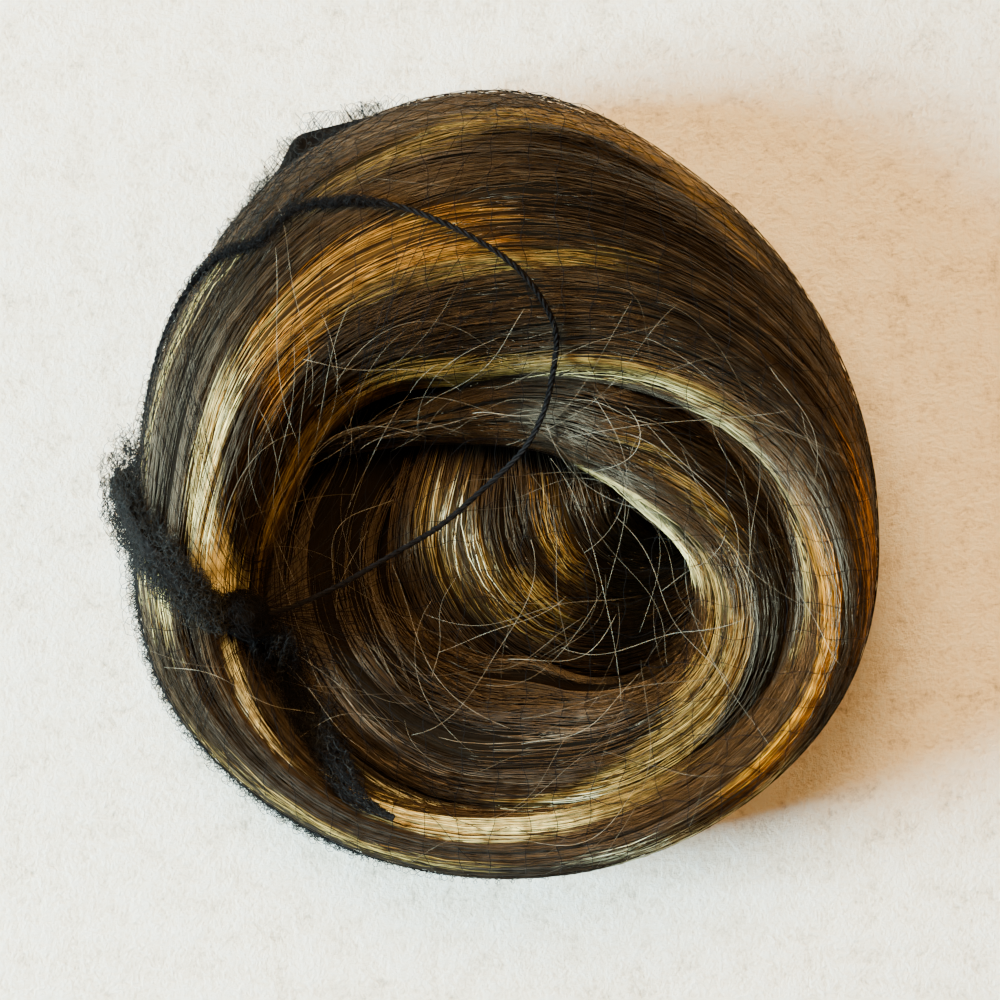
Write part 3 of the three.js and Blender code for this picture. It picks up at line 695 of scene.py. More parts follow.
single_hair, hair_tree, _, hair_shade = hair_material("single_hair", 0.32, 0.34)
uneven = noise(hair_tree, object_place(hair_tree), 420.0, 3.0)
hair_tree.links.new(ramp(hair_tree, uneven, [(0.28, "857a70"), (0.72, "ffffff")]), hair_shade)
print("hair materials:", combed.name, single_hair.name)

# %% Grooves between the locks
LOCKS = {"outer": 12, "inner": 9, "tail": 8, "between": 6}
LOCK_START = {"outer": -10, "inner": -12, "tail": 0, "between": 0}
GROOVE = 1.0
windings = {"outer": outer, "inner": inner, "tail": tail, "between": between}


def groove(winding, azimuth, angle):
    """How far the surface dips at an angle: deepest where two locks meet."""
    angle = angle - windings[winding].column("drift", azimuth)
    lock = (angle - LOCK_START[winding]) * LOCKS[winding] / 360
    return GROOVE * (1 - np.abs(np.sin(np.pi * lock))) ** 2


print("groove at the outer turn's first seam:", groove("outer", 90.0, float(LOCK_START["outer"])), "mm")

# %% A torus and a sphere as windings
RING_SIDES = (180, 72)
SPHERE_SIDES = (64, 120)
RING_RADIUS = 1.0
POLE = 1e-4


def torus_places(piece):
    """Azimuth and angle of each point of a torus, read from where the point is."""
    at = np.array([point.co for point in piece.data.vertices])
    azimuth = np.degrees(np.arctan2(at[:, 1], at[:, 0]))
    azimuth = np.where(azimuth > 90, azimuth - 360, azimuth)
    return azimuth, np.degrees(np.arctan2(at[:, 2], np.hypot(at[:, 0], at[:, 1]) - RING_RADIUS))


def sphere_places(piece):
    """For each point of a sphere: share of the way from pole to pole, and angle round its axis."""
    at = np.array([point.co for point in piece.data.vertices])
    height = at[:, 2] / np.linalg.norm(at, axis=1)
    return np.arccos(np.clip(height, -1, 1)) / np.pi, np.degrees(np.arctan2(at[:, 1], at[:, 0]))


def set_points(piece, points):
    """Moves a piece's points to places in millimetres."""
    piece.data.vertices.foreach_set("co", (points * MM).astype(np.float32).ravel())
    piece.data.update()


def add_torus(name):
    bpy.ops.object.select_all(action="DESELECT")
    bpy.ops.mesh.primitive_torus_add(major_segments=RING_SIDES[0], minor_segments=RING_SIDES[1],
                                     major_radius=RING_RADIUS, minor_radius=0.4)
    bpy.context.object.name = name
    return bpy.context.object


def add_sphere(name, sides=SPHERE_SIDES):
    bpy.ops.object.select_all(action="DESELECT")
    bpy.ops.mesh.primitive_uv_sphere_add(segments=sides[0], ring_count=sides[1], radius=1.0)
    bpy.context.object.name = name
    return bpy.context.object


def open_winding(piece, name, lift, floor=0.0):
    """Sends a sphere's rings to the sections of an open winding; its poles close the two ends."""
    winding = windings[name]
    share, angle = sphere_places(piece)
    azimuth = winding.first + share * (winding.last - winding.first)
    points = winding.place(azimuth, angle, lift - groove(name, azimuth, angle), floor)
    for pole in (share < POLE, share > 1 - POLE):
        at = azimuth[pole]
        points[pole] = winding.place(at, np.zeros(len(at)), -winding.column("half_width", at))
    set_points(piece, points)
    return azimuth, angle


def ring_winding(piece, lift, floor=0.0):
    """Sends a torus to the sections of the outer turn."""
    azimuth, angle = torus_places(piece)
    set_points(piece, outer.place(azimuth, angle, lift - groove("outer", azimuth, angle), floor))
    return azimuth, angle


def face_out(piece):
    """Turns all faces outwards and shades them smooth."""
    bpy.ops.object.select_all(action="DESELECT")
    piece.select_set(True)
    bpy.context.view_layer.objects.active = piece
    bpy.ops.object.mode_set(mode="EDIT")
    bpy.ops.mesh.select_all(action="SELECT")
    bpy.ops.mesh.normals_make_consistent(inside=False)
    bpy.ops.object.mode_set(mode="OBJECT")
    bpy.ops.object.shade_smooth()


print("a ring has", RING_SIDES[0] * RING_SIDES[1], "points,", RING_SIDES[0], "sections round the coil")

# %% Packed hair
PACKED_LIFT = -0.9
# painted shade: the body shows only in the gaps between hairs, so its colours are darkened
PAINTED_SHADE_BETWEEN_HAIRS = 0.28
FLOW_ROUND = 45.0
FLOW_ACROSS = 20.0
HAIR_GAP = 0.35
CUTTER_FLOOR = -1.0


def flow_map(piece, azimuth, angle, winding):
    """A map in millimetres along the hair in u and across it in v; no face runs over a seam."""
    faces, corner = len(piece.data.polygons), np.empty(len(piece.data.loops), np.int32)
    starts, sizes = np.empty(faces, np.int32), np.empty(faces, np.int32)
    piece.data.loops.foreach_get("vertex_index", corner)
    piece.data.polygons.foreach_get("loop_start", starts)
    piece.data.polygons.foreach_get("loop_total", sizes)

    def past_seam(values):
        highest = np.repeat(np.maximum.reduceat(values, starts), sizes)
        return highest - values > 180

    lock = (angle - windings[winding].column("drift", azimuth))[corner]
    along = azimuth[corner]
    over = past_seam(along)
    along = np.where(over, along + 360, along)
    lock = np.where(over, lock + DRIFT_PER_TURN, lock)
    lock = np.where(past_seam(lock), lock + 360, lock)
    at = np.stack([np.radians(along) * FLOW_ROUND, np.radians(lock) * FLOW_ACROSS], axis=1)
    layer = piece.data.uv_layers.new(name="flow")
    layer.data.foreach_set("uv", at.astype(np.float32).ravel())


def packed_hair(winding):
    """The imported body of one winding, with its map and material."""
    if winding == "outer":
        piece = add_torus("packed_outer")
        azimuth, angle = ring_winding(piece, PACKED_LIFT)
    else:
        piece = add_sphere("packed_" + winding)
        azimuth, angle = open_winding(piece, winding, PACKED_LIFT)
    face_out(piece)
    flow_map(piece, azimuth, angle, winding)
    piece.data.materials.clear()
    piece.data.materials.append(combed)
    return piece


def paint_packed(piece, winding):
    """The same streaks as on the hairs, with painted shade: darker, because the body shows only in the
    gaps between them.
    """
    points = np.array([point.co for point in piece.data.vertices])[:, None] / MM
    own = np.tile(SHADES["dark_brown"], (len(points), 1))
    paint(piece, PAINTED_SHADE_BETWEEN_HAIRS * hair_colours(winding, points, own)[:, 0])


def cut_from(piece, *neighbours):
    """Cuts a piece back from its neighbours with Boolean modifiers."""
    bpy.ops.object.select_all(action="DESELECT")
    bpy.context.view_layer.objects.active = piece
    piece.select_set(True)
    for neighbour in neighbours:
        bpy.ops.object.modifier_add(type="BOOLEAN")
        cutter = piece.modifiers[-1]
        cutter.operation = "DIFFERENCE"
        cutter.solver = "MANIFOLD"
        cutter.object = neighbour
        bpy.ops.object.modifier_apply(modifier=cutter.name)


body_outer = packed_hair("outer")
body_inner = packed_hair("inner")
body_tail = packed_hair("tail")

grown_outer = add_torus("grown_outer")
ring_winding(grown_outer, PACKED_LIFT + HAIR_GAP, CUTTER_FLOOR)
face_out(grown_outer)
grown_inner = add_sphere("grown_inner")
open_winding(grown_inner, "inner", PACKED_LIFT + HAIR_GAP, CUTTER_FLOOR)
face_out(grown_inner)
cut_from(body_inner, grown_outer)
cut_from(body_tail, grown_outer, grown_inner)
for cutter in (grown_outer, grown_inner):
    bpy.data.objects.remove(cutter)

OUTER_NODES = [
    "outer_turn", "streak_gold_top", "streak_copper", "streak_blonde_left", "streak_gold_knot",
    "streak_pale_left", "streak_edge", "streak_gold_rim", "streak_copper_right", "streak_blonde_foot",
]
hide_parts(*OUTER_NODES)
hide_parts("inner_turn", "streak_blonde_inner")
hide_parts("tail_fan", "streak_blonde_tail", "streak_blonde_fan")
for winding, body in zip(windings, (body_outer, body_inner, body_tail)):
    paint_packed(body, winding)
    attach(body, "root")
    print(body.name, triangles(body), "triangles")

# %% [markdown]
# ## Single hairs
#
# Combed hair lies in small locks that follow the winding. Hair particles would give the same lines,
# but they can't be exported, so every hair here is a thin closed tube. Hairs are drawn in clumps: a
# clump has a place on the winding and a crown, its hairs spread about it, wander a little, and sink
# at both ends so that no cut end shows. The bowl is shaded by its walls, so the hairs of the inner
# turn and the tail are also darker by themselves.

# %% Hairs on a winding
OWN_SHADES = ["black_brown", "dark_brown", "dark_brown", "dark_brown", "brown", "brown", "brown"]
CLUMP_SIZE = 12
HAIR_POINTS = 11
HAIR_SIDES = 3
HAIR_THICK = 0.11
END_DIP = 1.6
FULL_TURN = 6.28


def each(low, high, count):
    """One random value for each hair or thread, as a column."""
    return draw.uniform(low, high, count)[:, None]


def phases(count):
    """A random start of a wave for each hair or thread, as a column."""
    return each(0, FULL_TURN, count)


def lay_hairs(winding, count, azimuths, angles, spans, clump_width, shade=1.0):
    """Hairs along one winding: their paths, radii and colours, all as arrays."""
    turn = windings[winding]
    clumps = count // CLUMP_SIZE
    owner = np.arange(count) % clumps
    home = draw.uniform(*azimuths, clumps)
    lock = draw.uniform(*angles, clumps) - turn.column("drift", home)
    middle = home[owner] + draw.uniform(-14, 14, count)
    span = draw.uniform(*spans, clumps)[owner] * draw.uniform(0.75, 1.1, count)
    low = np.maximum(middle - span / 2, turn.first + 1)
    high = np.minimum(middle + span / 2, turn.last - 1)
    way = np.linspace(0, 1, HAIR_POINTS)
    azimuth = low[:, None] + (high - low)[:, None] * way
    spread = draw.normal(0, 1, count)
    ends = np.abs(2 * way - 1)
    offset = (spread * clump_width)[:, None] * (1 - 0.35 * ends**2)
    wander = each(0.2, 0.9, count) * np.sin(np.radians(azimuth) * each(2, 6, count) + phases(count))
    skew = (draw.normal(0, 1.6, count) + draw.normal(0, 3.6, clumps)[owner])[:, None] * (2 * way - 1)
    angle = lock[owner][:, None] + offset + wander + skew + turn.column("drift", azimuth)
    crown = draw.uniform(0.0, 0.55, clumps)[owner]
    depth = draw.uniform(-0.8, 0.15, count) + crown * np.exp(-0.5 * spread**2)
    lift = depth[:, None] - 0.8 * groove(winding, azimuth, angle) - END_DIP * ends**8
    paths = turn.place(azimuth, angle, lift)
    width = HAIR_THICK * draw.uniform(0.7, 1.25, count)
    radius = width[:, None] / 2 * (1 - 0.4 * ends**4)
    shades = np.array([SHADES[name] for name in OWN_SHADES])
    shades = shades[draw.integers(0, len(shades), clumps)]
    # a shade below one is painted shade: the bowl's hairs darkened because its walls shade them
    own = shade * shades[owner] * draw.lognormal(0, 0.38, count)[:, None]
    chance = np.clip(draw.uniform(0, 1, clumps)[owner] + draw.normal(0, 0.22, count), 0.02, 0.98)
    tone = draw.lognormal(-0.08, 0.34, count)[:, None, None]
    return paths, radius, hair_colours(winding, paths, own, chance, tone)


def hair_pieces(name, parts, laid):
    """Hairs sorted from dark to light and shared out over a few pieces; the lightest are blonde."""
    paths, radius, colours = laid
    order = np.argsort(colours.mean(axis=(1, 2)))
    for number, chosen in enumerate(np.array_split(order, parts), 1):
        batch = [(paths[chosen], radius[chosen], HAIR_SIDES)]
        piece = tube_piece(f"{name}_{number}", batch, single_hair, [colours[chosen]])
        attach(piece, "root")
        print(piece.name, len(chosen), "hairs", triangles(piece), "triangles")


hair_pieces("hairs_outer", 3, lay_hairs("outer", 5200, (-270, 90), (-45, 205), (55, 115), 3.0))
hair_pieces("hairs_inner", 2, lay_hairs("inner", 2300, (-195, 110), (-20, 200), (50, 110), 4.5, 0.36))
hair_pieces("hairs_between", 1, lay_hairs("between", 330, (-75, 80), (10, 170), (60, 120), 8.0))
hair_pieces("hairs_tail", 2, lay_hairs("tail", 950, (160, 290), (10, 180), (60, 130), 4.0, 0.55))

# %% [markdown]
# ## The clip
#
# One corner of the clip shows at the upper left, a flat dark plate with slanted ends. It is one cube
# that is scaled to the plate's size: its outer long side is drawn in, its corners are rounded with a
# bevel across the plate, and a fine bevel modifier takes the sharpness off all its edges.

# %% Clip
CLIP_LONG, CLIP_SHORT, CLIP_WIDTH, CLIP_THICK = 34.0, 19.0, 9.0, 1.4
CLIP_PLACE = np.array([-23.2, 53.0, 14.0])
CLIP_TURNED = 14.0
CLIP_CORNER = 1.6
CLIP_EDGE = 0.3
CLIP_SMOOTH = 35.0


def select_where(piece, parts, test):
    """Selects a piece's points or edges by their place, and nothing else."""
    bpy.ops.object.mode_set(mode="EDIT")
    bpy.ops.mesh.select_all(action="DESELECT")
    bpy.ops.object.mode_set(mode="OBJECT")
    for part in getattr(piece.data, parts):
        part.select = bool(test(part))
    bpy.ops.object.mode_set(mode="EDIT")


def upright_edge(edge):
    """Whether an edge of the plate runs through its thickness."""
    first, second = (clip_plate.data.vertices[end].co.z for end in edge.vertices)
    return abs(first - second) > CLIP_THICK * MM / 2


bpy.ops.object.select_all(action="DESELECT")
bpy.ops.mesh.primitive_cube_add(size=1.0)
clip_plate = bpy.context.object
clip_plate.name = "clip_plate"
bpy.ops.object.mode_set(mode="EDIT")
plate_size = (CLIP_LONG * MM, CLIP_WIDTH * MM, CLIP_THICK * MM)
bpy.ops.transform.resize(value=plate_size, center_override=(0, 0, 0))
bpy.ops.mesh.select_mode(type="VERT")
select_where(clip_plate, "vertices", lambda point: point.co.y > 0)
bpy.ops.transform.resize(value=(CLIP_SHORT / CLIP_LONG, 1, 1), center_override=(0, 0, 0))
bpy.ops.mesh.select_mode(type="EDGE")
select_where(clip_plate, "edges", upright_edge)
bpy.ops.mesh.bevel(offset=CLIP_CORNER * MM, segments=5, affect="EDGES")
bpy.ops.object.mode_set(mode="OBJECT")
bpy.ops.object.modifier_add(type="BEVEL")
fine_bevel = clip_plate.modifiers[-1]
fine_bevel.width = CLIP_EDGE * MM
fine_bevel.segments = 3
bpy.ops.object.modifier_apply(modifier=fine_bevel.name)
clip_plate.rotation_euler = (0, 0, np.radians(CLIP_TURNED))
clip_plate.location = (CLIP_PLACE + COIL_MIDDLE) * MM
bpy.ops.object.transform_apply(location=True, rotation=True, scale=True)
bpy.ops.object.shade_smooth_by_angle(angle=np.radians(CLIP_SMOOTH))
print("clip plate:", triangles(clip_plate), "triangles")

# %% Clip finish
clip_plastic, clip_tree, clip_shader = new_material("clip_plastic")
grain = noise(clip_tree, object_place(clip_tree), 900.0, 5.0)
clip_colour = ramp(clip_tree, grain, [(0.3, "040404"), (0.7, "0d0c0a")])
clip_tree.links.new(clip_colour, clip_shader.inputs["Base Color"])
clip_shader.inputs["Roughness"].default_value = 0.75
clip_shader.inputs["Specular IOR Level"].default_value = 0.03
bump(clip_tree, clip_shader, grain, 0.25, 0.0002)
clip_plate.data.materials.append(clip_plastic)
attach(clip_plate, "root")
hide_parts("clip")
print("clip finish:", clip_plastic.name)

# %% [markdown]
# ## The net's gathered edge
#
# At the left the hairnet is drawn together: a bunched band climbs over the outer turn into a knot, and
# a fold of loose net falls away below it. A cloth sheet would look far too smooth. What shows is a
# dark core with hundreds of fine curly threads over it, so each strip is a sphere drawn out along the
# strip's own table, dressed with threads that run along it and curl as they go. The threads of the
# fold lie a little wider and higher than its core, so that they come out on top of the single hairs.

# %% Bunched strips
NET_BAND = [
    (-181, -16, 5.6, 1.8), (-180, 4, 6.4, 2.57), (-177, 26, 5.4, 2.3), (-172.5, 48, 4.2, 2.0),
    (-167, 70, 3.4, 1.8), (-161, 90, 2.8, 1.6), (-155.5, 108, 2.5, 1.5),
]
NET_FOLD = [
    (-39.2, -21.0, 30.5, 2.4, 1.6), (-37.6, -24.4, 26.8, 3.0, 1.8), (-35.4, -29.0, 22.6, 3.4, 2.0),
    (-33.0, -33.8, 22.4, 3.5, 2.0), (-30.6, -38.4, 25.2, 3.4, 1.9), (-27.9, -42.8, 28.4, 3.2, 1.7),
    (-24.2, -46.6, 31.4, 2.8, 1.4), (-19.4, -49.4, 32.6, 2.0, 1.0),
]
KNOT_PLACE = (-154, 122)
KNOT_HALVES = (4.4, 3.8, 2.8)
NET_CLEAR = 0.35
STRIP_STATIONS = 60
FOLD_SPREAD = 1.35
FOLD_SHIFT = (1.8, -0.6, 2.6)


def unit(vectors):
    """Vectors of length one in the same directions."""
    return vectors / np.linalg.norm(vectors, axis=-1, keepdims=True)


def finer(rows, count):
    """A short table blended smoothly into more rows."""
    table = np.array(rows, float)
    return curve_through(np.arange(len(table)), table, np.linspace(0, len(table) - 1, count))


class Strip:
    """A bunched strip: ellipses in a line, with the directions along, across and upright at each."""

    def __init__(self, centres, normals, half_wide, half_thick):
        along = unit(np.gradient(centres, axis=0))
        across = unit(np.cross(along, normals))
        self.values = np.concatenate([centres, along, across, np.cross(across, along),
                                      half_wide[:, None], half_thick[:, None]], axis=1)

    def at(self, share):
        """Centre, along, across, upright, half width and half thickness at shares of the way."""
        place = np.clip(share, 0, 1) * (len(self.values) - 1)
        low = np.clip(np.floor(place).astype(int), 0, len(self.values) - 2)
        part = (place - low)[..., None]
        values = self.values[low] * (1 - part) + self.values[low + 1] * part
        return np.split(values, [3, 6, 9, 12, 13], axis=-1)

    def place(self, share, angle, size):
        """Points at an angle round the strip; size 1 lies on its outline."""
        centre, _, across, upright, wide, thick = self.at(share)
        return (centre + across * wide * (size * np.cos(angle))[..., None]
                + upright * thick * (size * np.sin(angle))[..., None])


def normal_at(azimuth, angle):
    """The direction straight out of the outer turn at a place on it."""
    return unit(outer.place(azimuth, angle, 1.0) - outer.place(azimuth, angle, 0.0))


band_rows = finer(NET_BAND, STRIP_STATIONS)
band = Strip(outer.place(band_rows[:, 0], band_rows[:, 1], band_rows[:, 3] + NET_CLEAR),
             normal_at(band_rows[:, 0], band_rows[:, 1]), band_rows[:, 2], band_rows[:, 3])
fold_rows = finer(NET_FOLD, STRIP_STATIONS)
upright = np.tile((0.0, 0.0, 1.0), (STRIP_STATIONS, 1))
fold = Strip(fold_rows[:, :3] + COIL_MIDDLE, upright, fold_rows[:, 3], fold_rows[:, 4])
loose_fold = Strip(fold_rows[:, :3] + COIL_MIDDLE + FOLD_SHIFT, upright,
                   FOLD_SPREAD * fold_rows[:, 3], fold_rows[:, 4])
knot_normal = normal_at(*KNOT_PLACE)
knot_along = unit(np.array([1.0, 0, 0]) - knot_normal[0] * knot_normal)
knot_frame = np.stack([knot_along, np.cross(knot_normal, knot_along), knot_normal])
knot_middle = outer.place(*KNOT_PLACE, KNOT_HALVES[2] + NET_CLEAR)
print("knot at", np.round(knot_middle, 1), "mm")

# %% Cores and threads
CORE_SIDES = (28, 60)
KNOT_SIDES = (28, 20)
KNOT_CORE = 0.7
END_SHARE = 0.06
CURL_TAPER = 0.7


def strip_core(name, strip, size, taper=0.0):
    """A sphere drawn out along a strip, with uneven bulges."""
    piece = add_sphere(name, CORE_SIDES)
    share, angle = sphere_places(piece)
    turned = np.radians(angle)
    bulge = 1 + 0.09 * np.sin(3 * turned + 14 * share) + 0.06 * np.sin(5 * turned - 31 * share)
    ends = np.sqrt(np.clip(np.minimum(share, 1 - share) / END_SHARE, 0, 1)) * (1 - taper * share**2)
    set_points(piece, strip.place(share, turned, size * bulge * ends))
    face_out(piece)
    return piece


def strip_threads(strip, count, points, reach, curl, taper=0.0):
    """Threads that run along a strip, each with its own little curls."""
    way = np.linspace(0, 1, points)
    share = each(-0.1, 0.95, count) + each(*reach, count) * way
    angle = each(0, 2 * np.pi, count) + draw.normal(0, 1.0, count)[:, None] * way
    size = each(0.3, 1.3, count) + 0.2 * np.sin(each(3, 9, count) * way + phases(count))
    share = np.clip(share, 0.0, 1.0) + 0.004 * draw.normal(0, 1, share.shape)
    thinner = taper * np.clip(share, 0, 1) ** 2
    size = size * (1 - thinner)
    _, along, across, upright, _, _ = strip.at(share)
    spin = each(20, 46, count) * way + phases(count)
    loop = curl * each(0.5, 1.4, count) * (1 - CURL_TAPER * thinner)
    return (strip.place(share, angle, size) + along * (loop * np.sin(spin))[..., None]
            + across * (loop * np.cos(spin))[..., None]
            + upright * (0.5 * loop * np.sin(1.7 * spin))[..., None])


def knot_threads(count, points):
    """Threads wound round the knot in every direction, like a small ball of thread."""
    way = np.linspace(0, 1, points)
    first = unit(draw.normal(0, 1, (count, 1, 3)))
    second = unit(np.cross(first, draw.normal(0, 1, (count, 1, 3))))
    turned = each(2.5, 6.5, count) * way
    ball = first * np.cos(turned)[..., None] + second * np.sin(turned)[..., None]
    ripple = 0.96 + 0.1 * np.sin(each(10, 30, count) * way + phases(count))
    return knot_middle + (ball * ripple[..., None] * np.array(KNOT_HALVES)) @ knot_frame


def knot_core(name):
    """A sphere pressed into the knot's size, with uneven bulges."""
    piece = add_sphere(name, KNOT_SIDES)
    share, angle = sphere_places(piece)
    turned, tilt = np.radians(angle), np.pi * share
    ball = np.stack([np.sin(tilt) * np.cos(turned), np.sin(tilt) * np.sin(turned), np.cos(tilt)], axis=1)
    bulge = KNOT_CORE * (1 + 0.07 * np.sin(4 * turned + 9 * share))
    set_points(piece, knot_middle + (ball * bulge[:, None] * np.array(KNOT_HALVES)) @ knot_frame)
    face_out(piece)
    return piece


print("a core of", CORE_SIDES[0], "sides has", CORE_SIDES[1], "rings along its strip")

# %% Band, fold and knot
FUZZ_RADIUS = 0.05
FOLD_TAPER = 0.93
STRIP_POINTS = 34


def net_piece(piece, *nodes, material=net_thread):
    """Finishes a piece of the net and hides the solids it stands for."""
    piece.data.materials.clear()
    piece.data.materials.append(material)
    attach(piece, "root")
    if nodes:
        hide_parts(*nodes)
    print(piece.name, triangles(piece), "triangles")


def fuzz_piece(name, sets, material=net_thread):
    """Sets of fine threads as one piece of the net."""
    made = tube_piece(name, [(paths, FUZZ_RADIUS, HAIR_SIDES) for paths in sets], material)
    net_piece(made, material=material)


net_piece(strip_core("band_core", band, 0.4), "net_band")
net_piece(strip_core("fold_core", fold, 0.32, FOLD_TAPER), "net_fold")
net_piece(knot_core("knot_core"), "net_knot")
band_paths = strip_threads(band, 400, STRIP_POINTS, (0.08, 0.26), 0.75)
fold_paths = strip_threads(loose_fold, 200, STRIP_POINTS, (0.14, 0.4), 0.6, FOLD_TAPER)
fold_fine = strip_threads(loose_fold, 100, STRIP_POINTS, (0.14, 0.4), 0.6, FOLD_TAPER)
fuzz_piece("gathered_threads", [band_paths, fold_fine], fine_thread)
fuzz_piece("fold_threads", [fold_paths])
fuzz_piece("knot_wraps", [knot_threads(90, 30)])

# %% [markdown]
# ## The net
#
# Over the rest of the coil the net is a single layer of thin thread in square meshes. It touches the
# hair where the hair is high and sags across the bowl. A cloth simulation would find that height, and
# so does a much shorter sum: the height of the hair on a grid is smoothed again and again, but never
# pushed below the hair, which gives a tight net. The real one hangs part of the way down from there.

# %% Height of the net
GRID_CELL = 1.25
GRID_REACH = 66.0
RELAXATIONS = 400
NET_TIGHT = 0.4
BOWL_MIDDLE = np.array([5.0, -12.0])


def hair_height():
    """Height of the hair on a square grid, from points spread closely over the windings."""
    count = int(2 * GRID_REACH / GRID_CELL) + 1
    height = np.zeros((count, count))
    for turn in windings.values():
        azimuth, angle = np.arange(turn.first, turn.last, 0.8), np.arange(-30, 211, 1.5)
        points = turn.place(azimuth[:, None], angle[None]).reshape(-1, 3)
        at = np.rint((points[:, :2] - COIL_MIDDLE[:2] + GRID_REACH) / GRID_CELL).astype(int)
        np.maximum.at(height, (at[:, 1], at[:, 0]), points[:, 2])
    return height


def tightened(height):
    """The lowest smooth sheet over a height map, found by repeated smoothing."""
    tight = height.copy()
    for _ in range(RELAXATIONS):
        mean = (tight[:-2, 1:-1] + tight[2:, 1:-1] + tight[1:-1, :-2] + tight[1:-1, 2:]) / 4
        tight[1:-1, 1:-1] = np.maximum(height[1:-1, 1:-1], mean)
    return tight


def on_grid(grid, place):
    """A grid's value at x and y from the coil's middle, blended from the four nearest cells."""
    at = (place + GRID_REACH) / GRID_CELL
    low = np.clip(np.floor(at).astype(int), 0, len(grid) - 2)
    (x, y), (u, v) = np.moveaxis(low, -1, 0), np.moveaxis(at - low, -1, 0)
    return ((1 - v) * ((1 - u) * grid[y, x] + u * grid[y, x + 1])
            + v * ((1 - u) * grid[y + 1, x] + u * grid[y + 1, x + 1]))


hair_top = hair_height()
net_top = hair_top + NET_CLEAR + NET_TIGHT * (tightened(hair_top) - hair_top)
print("net over the middle of the bowl:", round(float(on_grid(net_top, BOWL_MIDDLE)), 1), "mm up")

# %% Net threads
MESH = 5.0
THREAD_RADIUS = 0.055
KNOT_PULL = np.array([-39.0, -19.6])
PULL_RIGHT, PULL_LEFT = 38.0, 18.0
TOP_EDGE = 28.0
SHORTEST_RUN = 4
WALL_HELICES = 72
WALL_POINTS = 30
WALL_TURN = 40.0
WALL_ANGLES = (36.0, -50.0)


def ripples(run, size):
    """A small smooth wobble along a line."""
    return size * (np.sin(run * draw.uniform(0.2, 0.45) + draw.uniform(0, FULL_TURN))
                   + 0.5 * np.sin(run * draw.uniform(0.7, 1.2) + draw.uniform(0, FULL_TURN)))


def top_lines():
    """Lines of the top net from the coil's middle: one set is drawn in towards the knot."""
    run = np.arange(-60, 60.5, 1.0)
    away = run - KNOT_PULL[0]
    share = np.clip(np.where(away > 0, away / PULL_RIGHT, -away / PULL_LEFT), 0, 1)
    spread = 0.12 + 0.88 * share**2 * (3 - 2 * share)
    for level in np.arange(-57.5, 60, MESH):
        yield np.stack([run, KNOT_PULL[1] + (level - KNOT_PULL[1]) * spread + ripples(run, 0.6)], axis=1)
        yield np.stack([level + ripples(run, 0.6), run], axis=1)


def over_coil(place, angle):
    """Whether places lie inside the line that runs round the outer turn at an angle of its section."""
    azimuth = np.degrees(np.arctan2(place[..., 1], place[..., 0]))
    azimuth = np.where(azimuth > 90, azimuth - 360, azimuth)
    wide = outer.column("half_width", azimuth)
    edge = outer.column("radius", azimuth) + wide * np.cos(np.radians(angle))
    return np.hypot(place[..., 0], place[..., 1]) < edge


def kept_runs(line):
    """The stretches of a line that lie on top of the coil, with their height."""
    inside = over_coil(line, TOP_EDGE)
    path = np.concatenate([line, on_grid(net_top, line)[:, None]], axis=1) + COIL_MIDDLE
    cuts = np.flatnonzero(np.diff(inside.astype(int))) + 1
    stretches = zip(np.split(path, cuts), np.split(inside, cuts))
    return [run for run, kept in stretches if kept[0] and len(run) > SHORTEST_RUN]


def wall_lines(turned):
    """Slanted lines down the outer wall, all in one direction round the coil."""
    way = np.linspace(0, 1, WALL_POINTS)
    start = np.arange(WALL_HELICES) * 360 / WALL_HELICES - 250
    azimuth = start[:, None] + turned * way + draw.normal(0, 0.35, (WALL_HELICES, WALL_POINTS))
    azimuth = np.where(azimuth > 90, azimuth - 360, azimuth)
    angle = WALL_ANGLES[0] + (WALL_ANGLES[1] - WALL_ANGLES[0]) * way
    return outer.place(azimuth, np.broadcast_to(angle, azimuth.shape), NET_CLEAR)


over_top = [run[None] for line in top_lines() for run in kept_runs(line)]
down_walls = [wall_lines(turned) for turned in (WALL_TURN, -WALL_TURN)]
net_lines = [(lines, THREAD_RADIUS, HAIR_SIDES) for lines in over_top + down_walls]
net_piece(tube_piece("net_mesh", net_lines, net_thread))

# %% [markdown]
# ## Loose loops and hairs
#
# Along the left outline the slack net stands off in little loops. Its last meshes are caught round
# the cord, round the clip's corner and in the knot, from where they spread over the bowl. Fine loose
# hairs lie on top in all directions. A simulation could tangle them, but short sums of waves give the
# same look and the same result each time. They come last because they rest on everything else.

# %% Edge loops
LOOP_POINTS = 44
CAUGHT_POINTS = 24
# round the clip's corner, from the coil's middle
CLIP_OUTLINE = [(-44.0, 39.0, 16.0), (-39.5, 44.8, 16.0), (-36.4, 49.0, 16.0), (-32.8, 55.2, 15.8),
                (-25.2, 57.6, 16.0), (-16.0, 59.6, 17.0)]


def edge_loops(count, azimuths, sizes, angles=(-22, 34), turns=(4, 9)):
    """Threads that run along the outline and stand off it in small loops."""
    way = np.linspace(0, 1, LOOP_POINTS)
    start = each(*azimuths, count)
    spin = 2 * np.pi * draw.integers(*turns, count)[:, None] * way + phases(count)
    size = each(*sizes, count)
    azimuth = start + each(8, 18, count) * way + 1.2 * size * np.sin(spin)
    angle = each(*angles, count) + draw.normal(0, 8, count)[:, None] * way
    lift = NET_CLEAR + size * (1 - np.cos(spin)) * each(0.4, 1.0, count)
    return outer.place(azimuth, angle, lift)


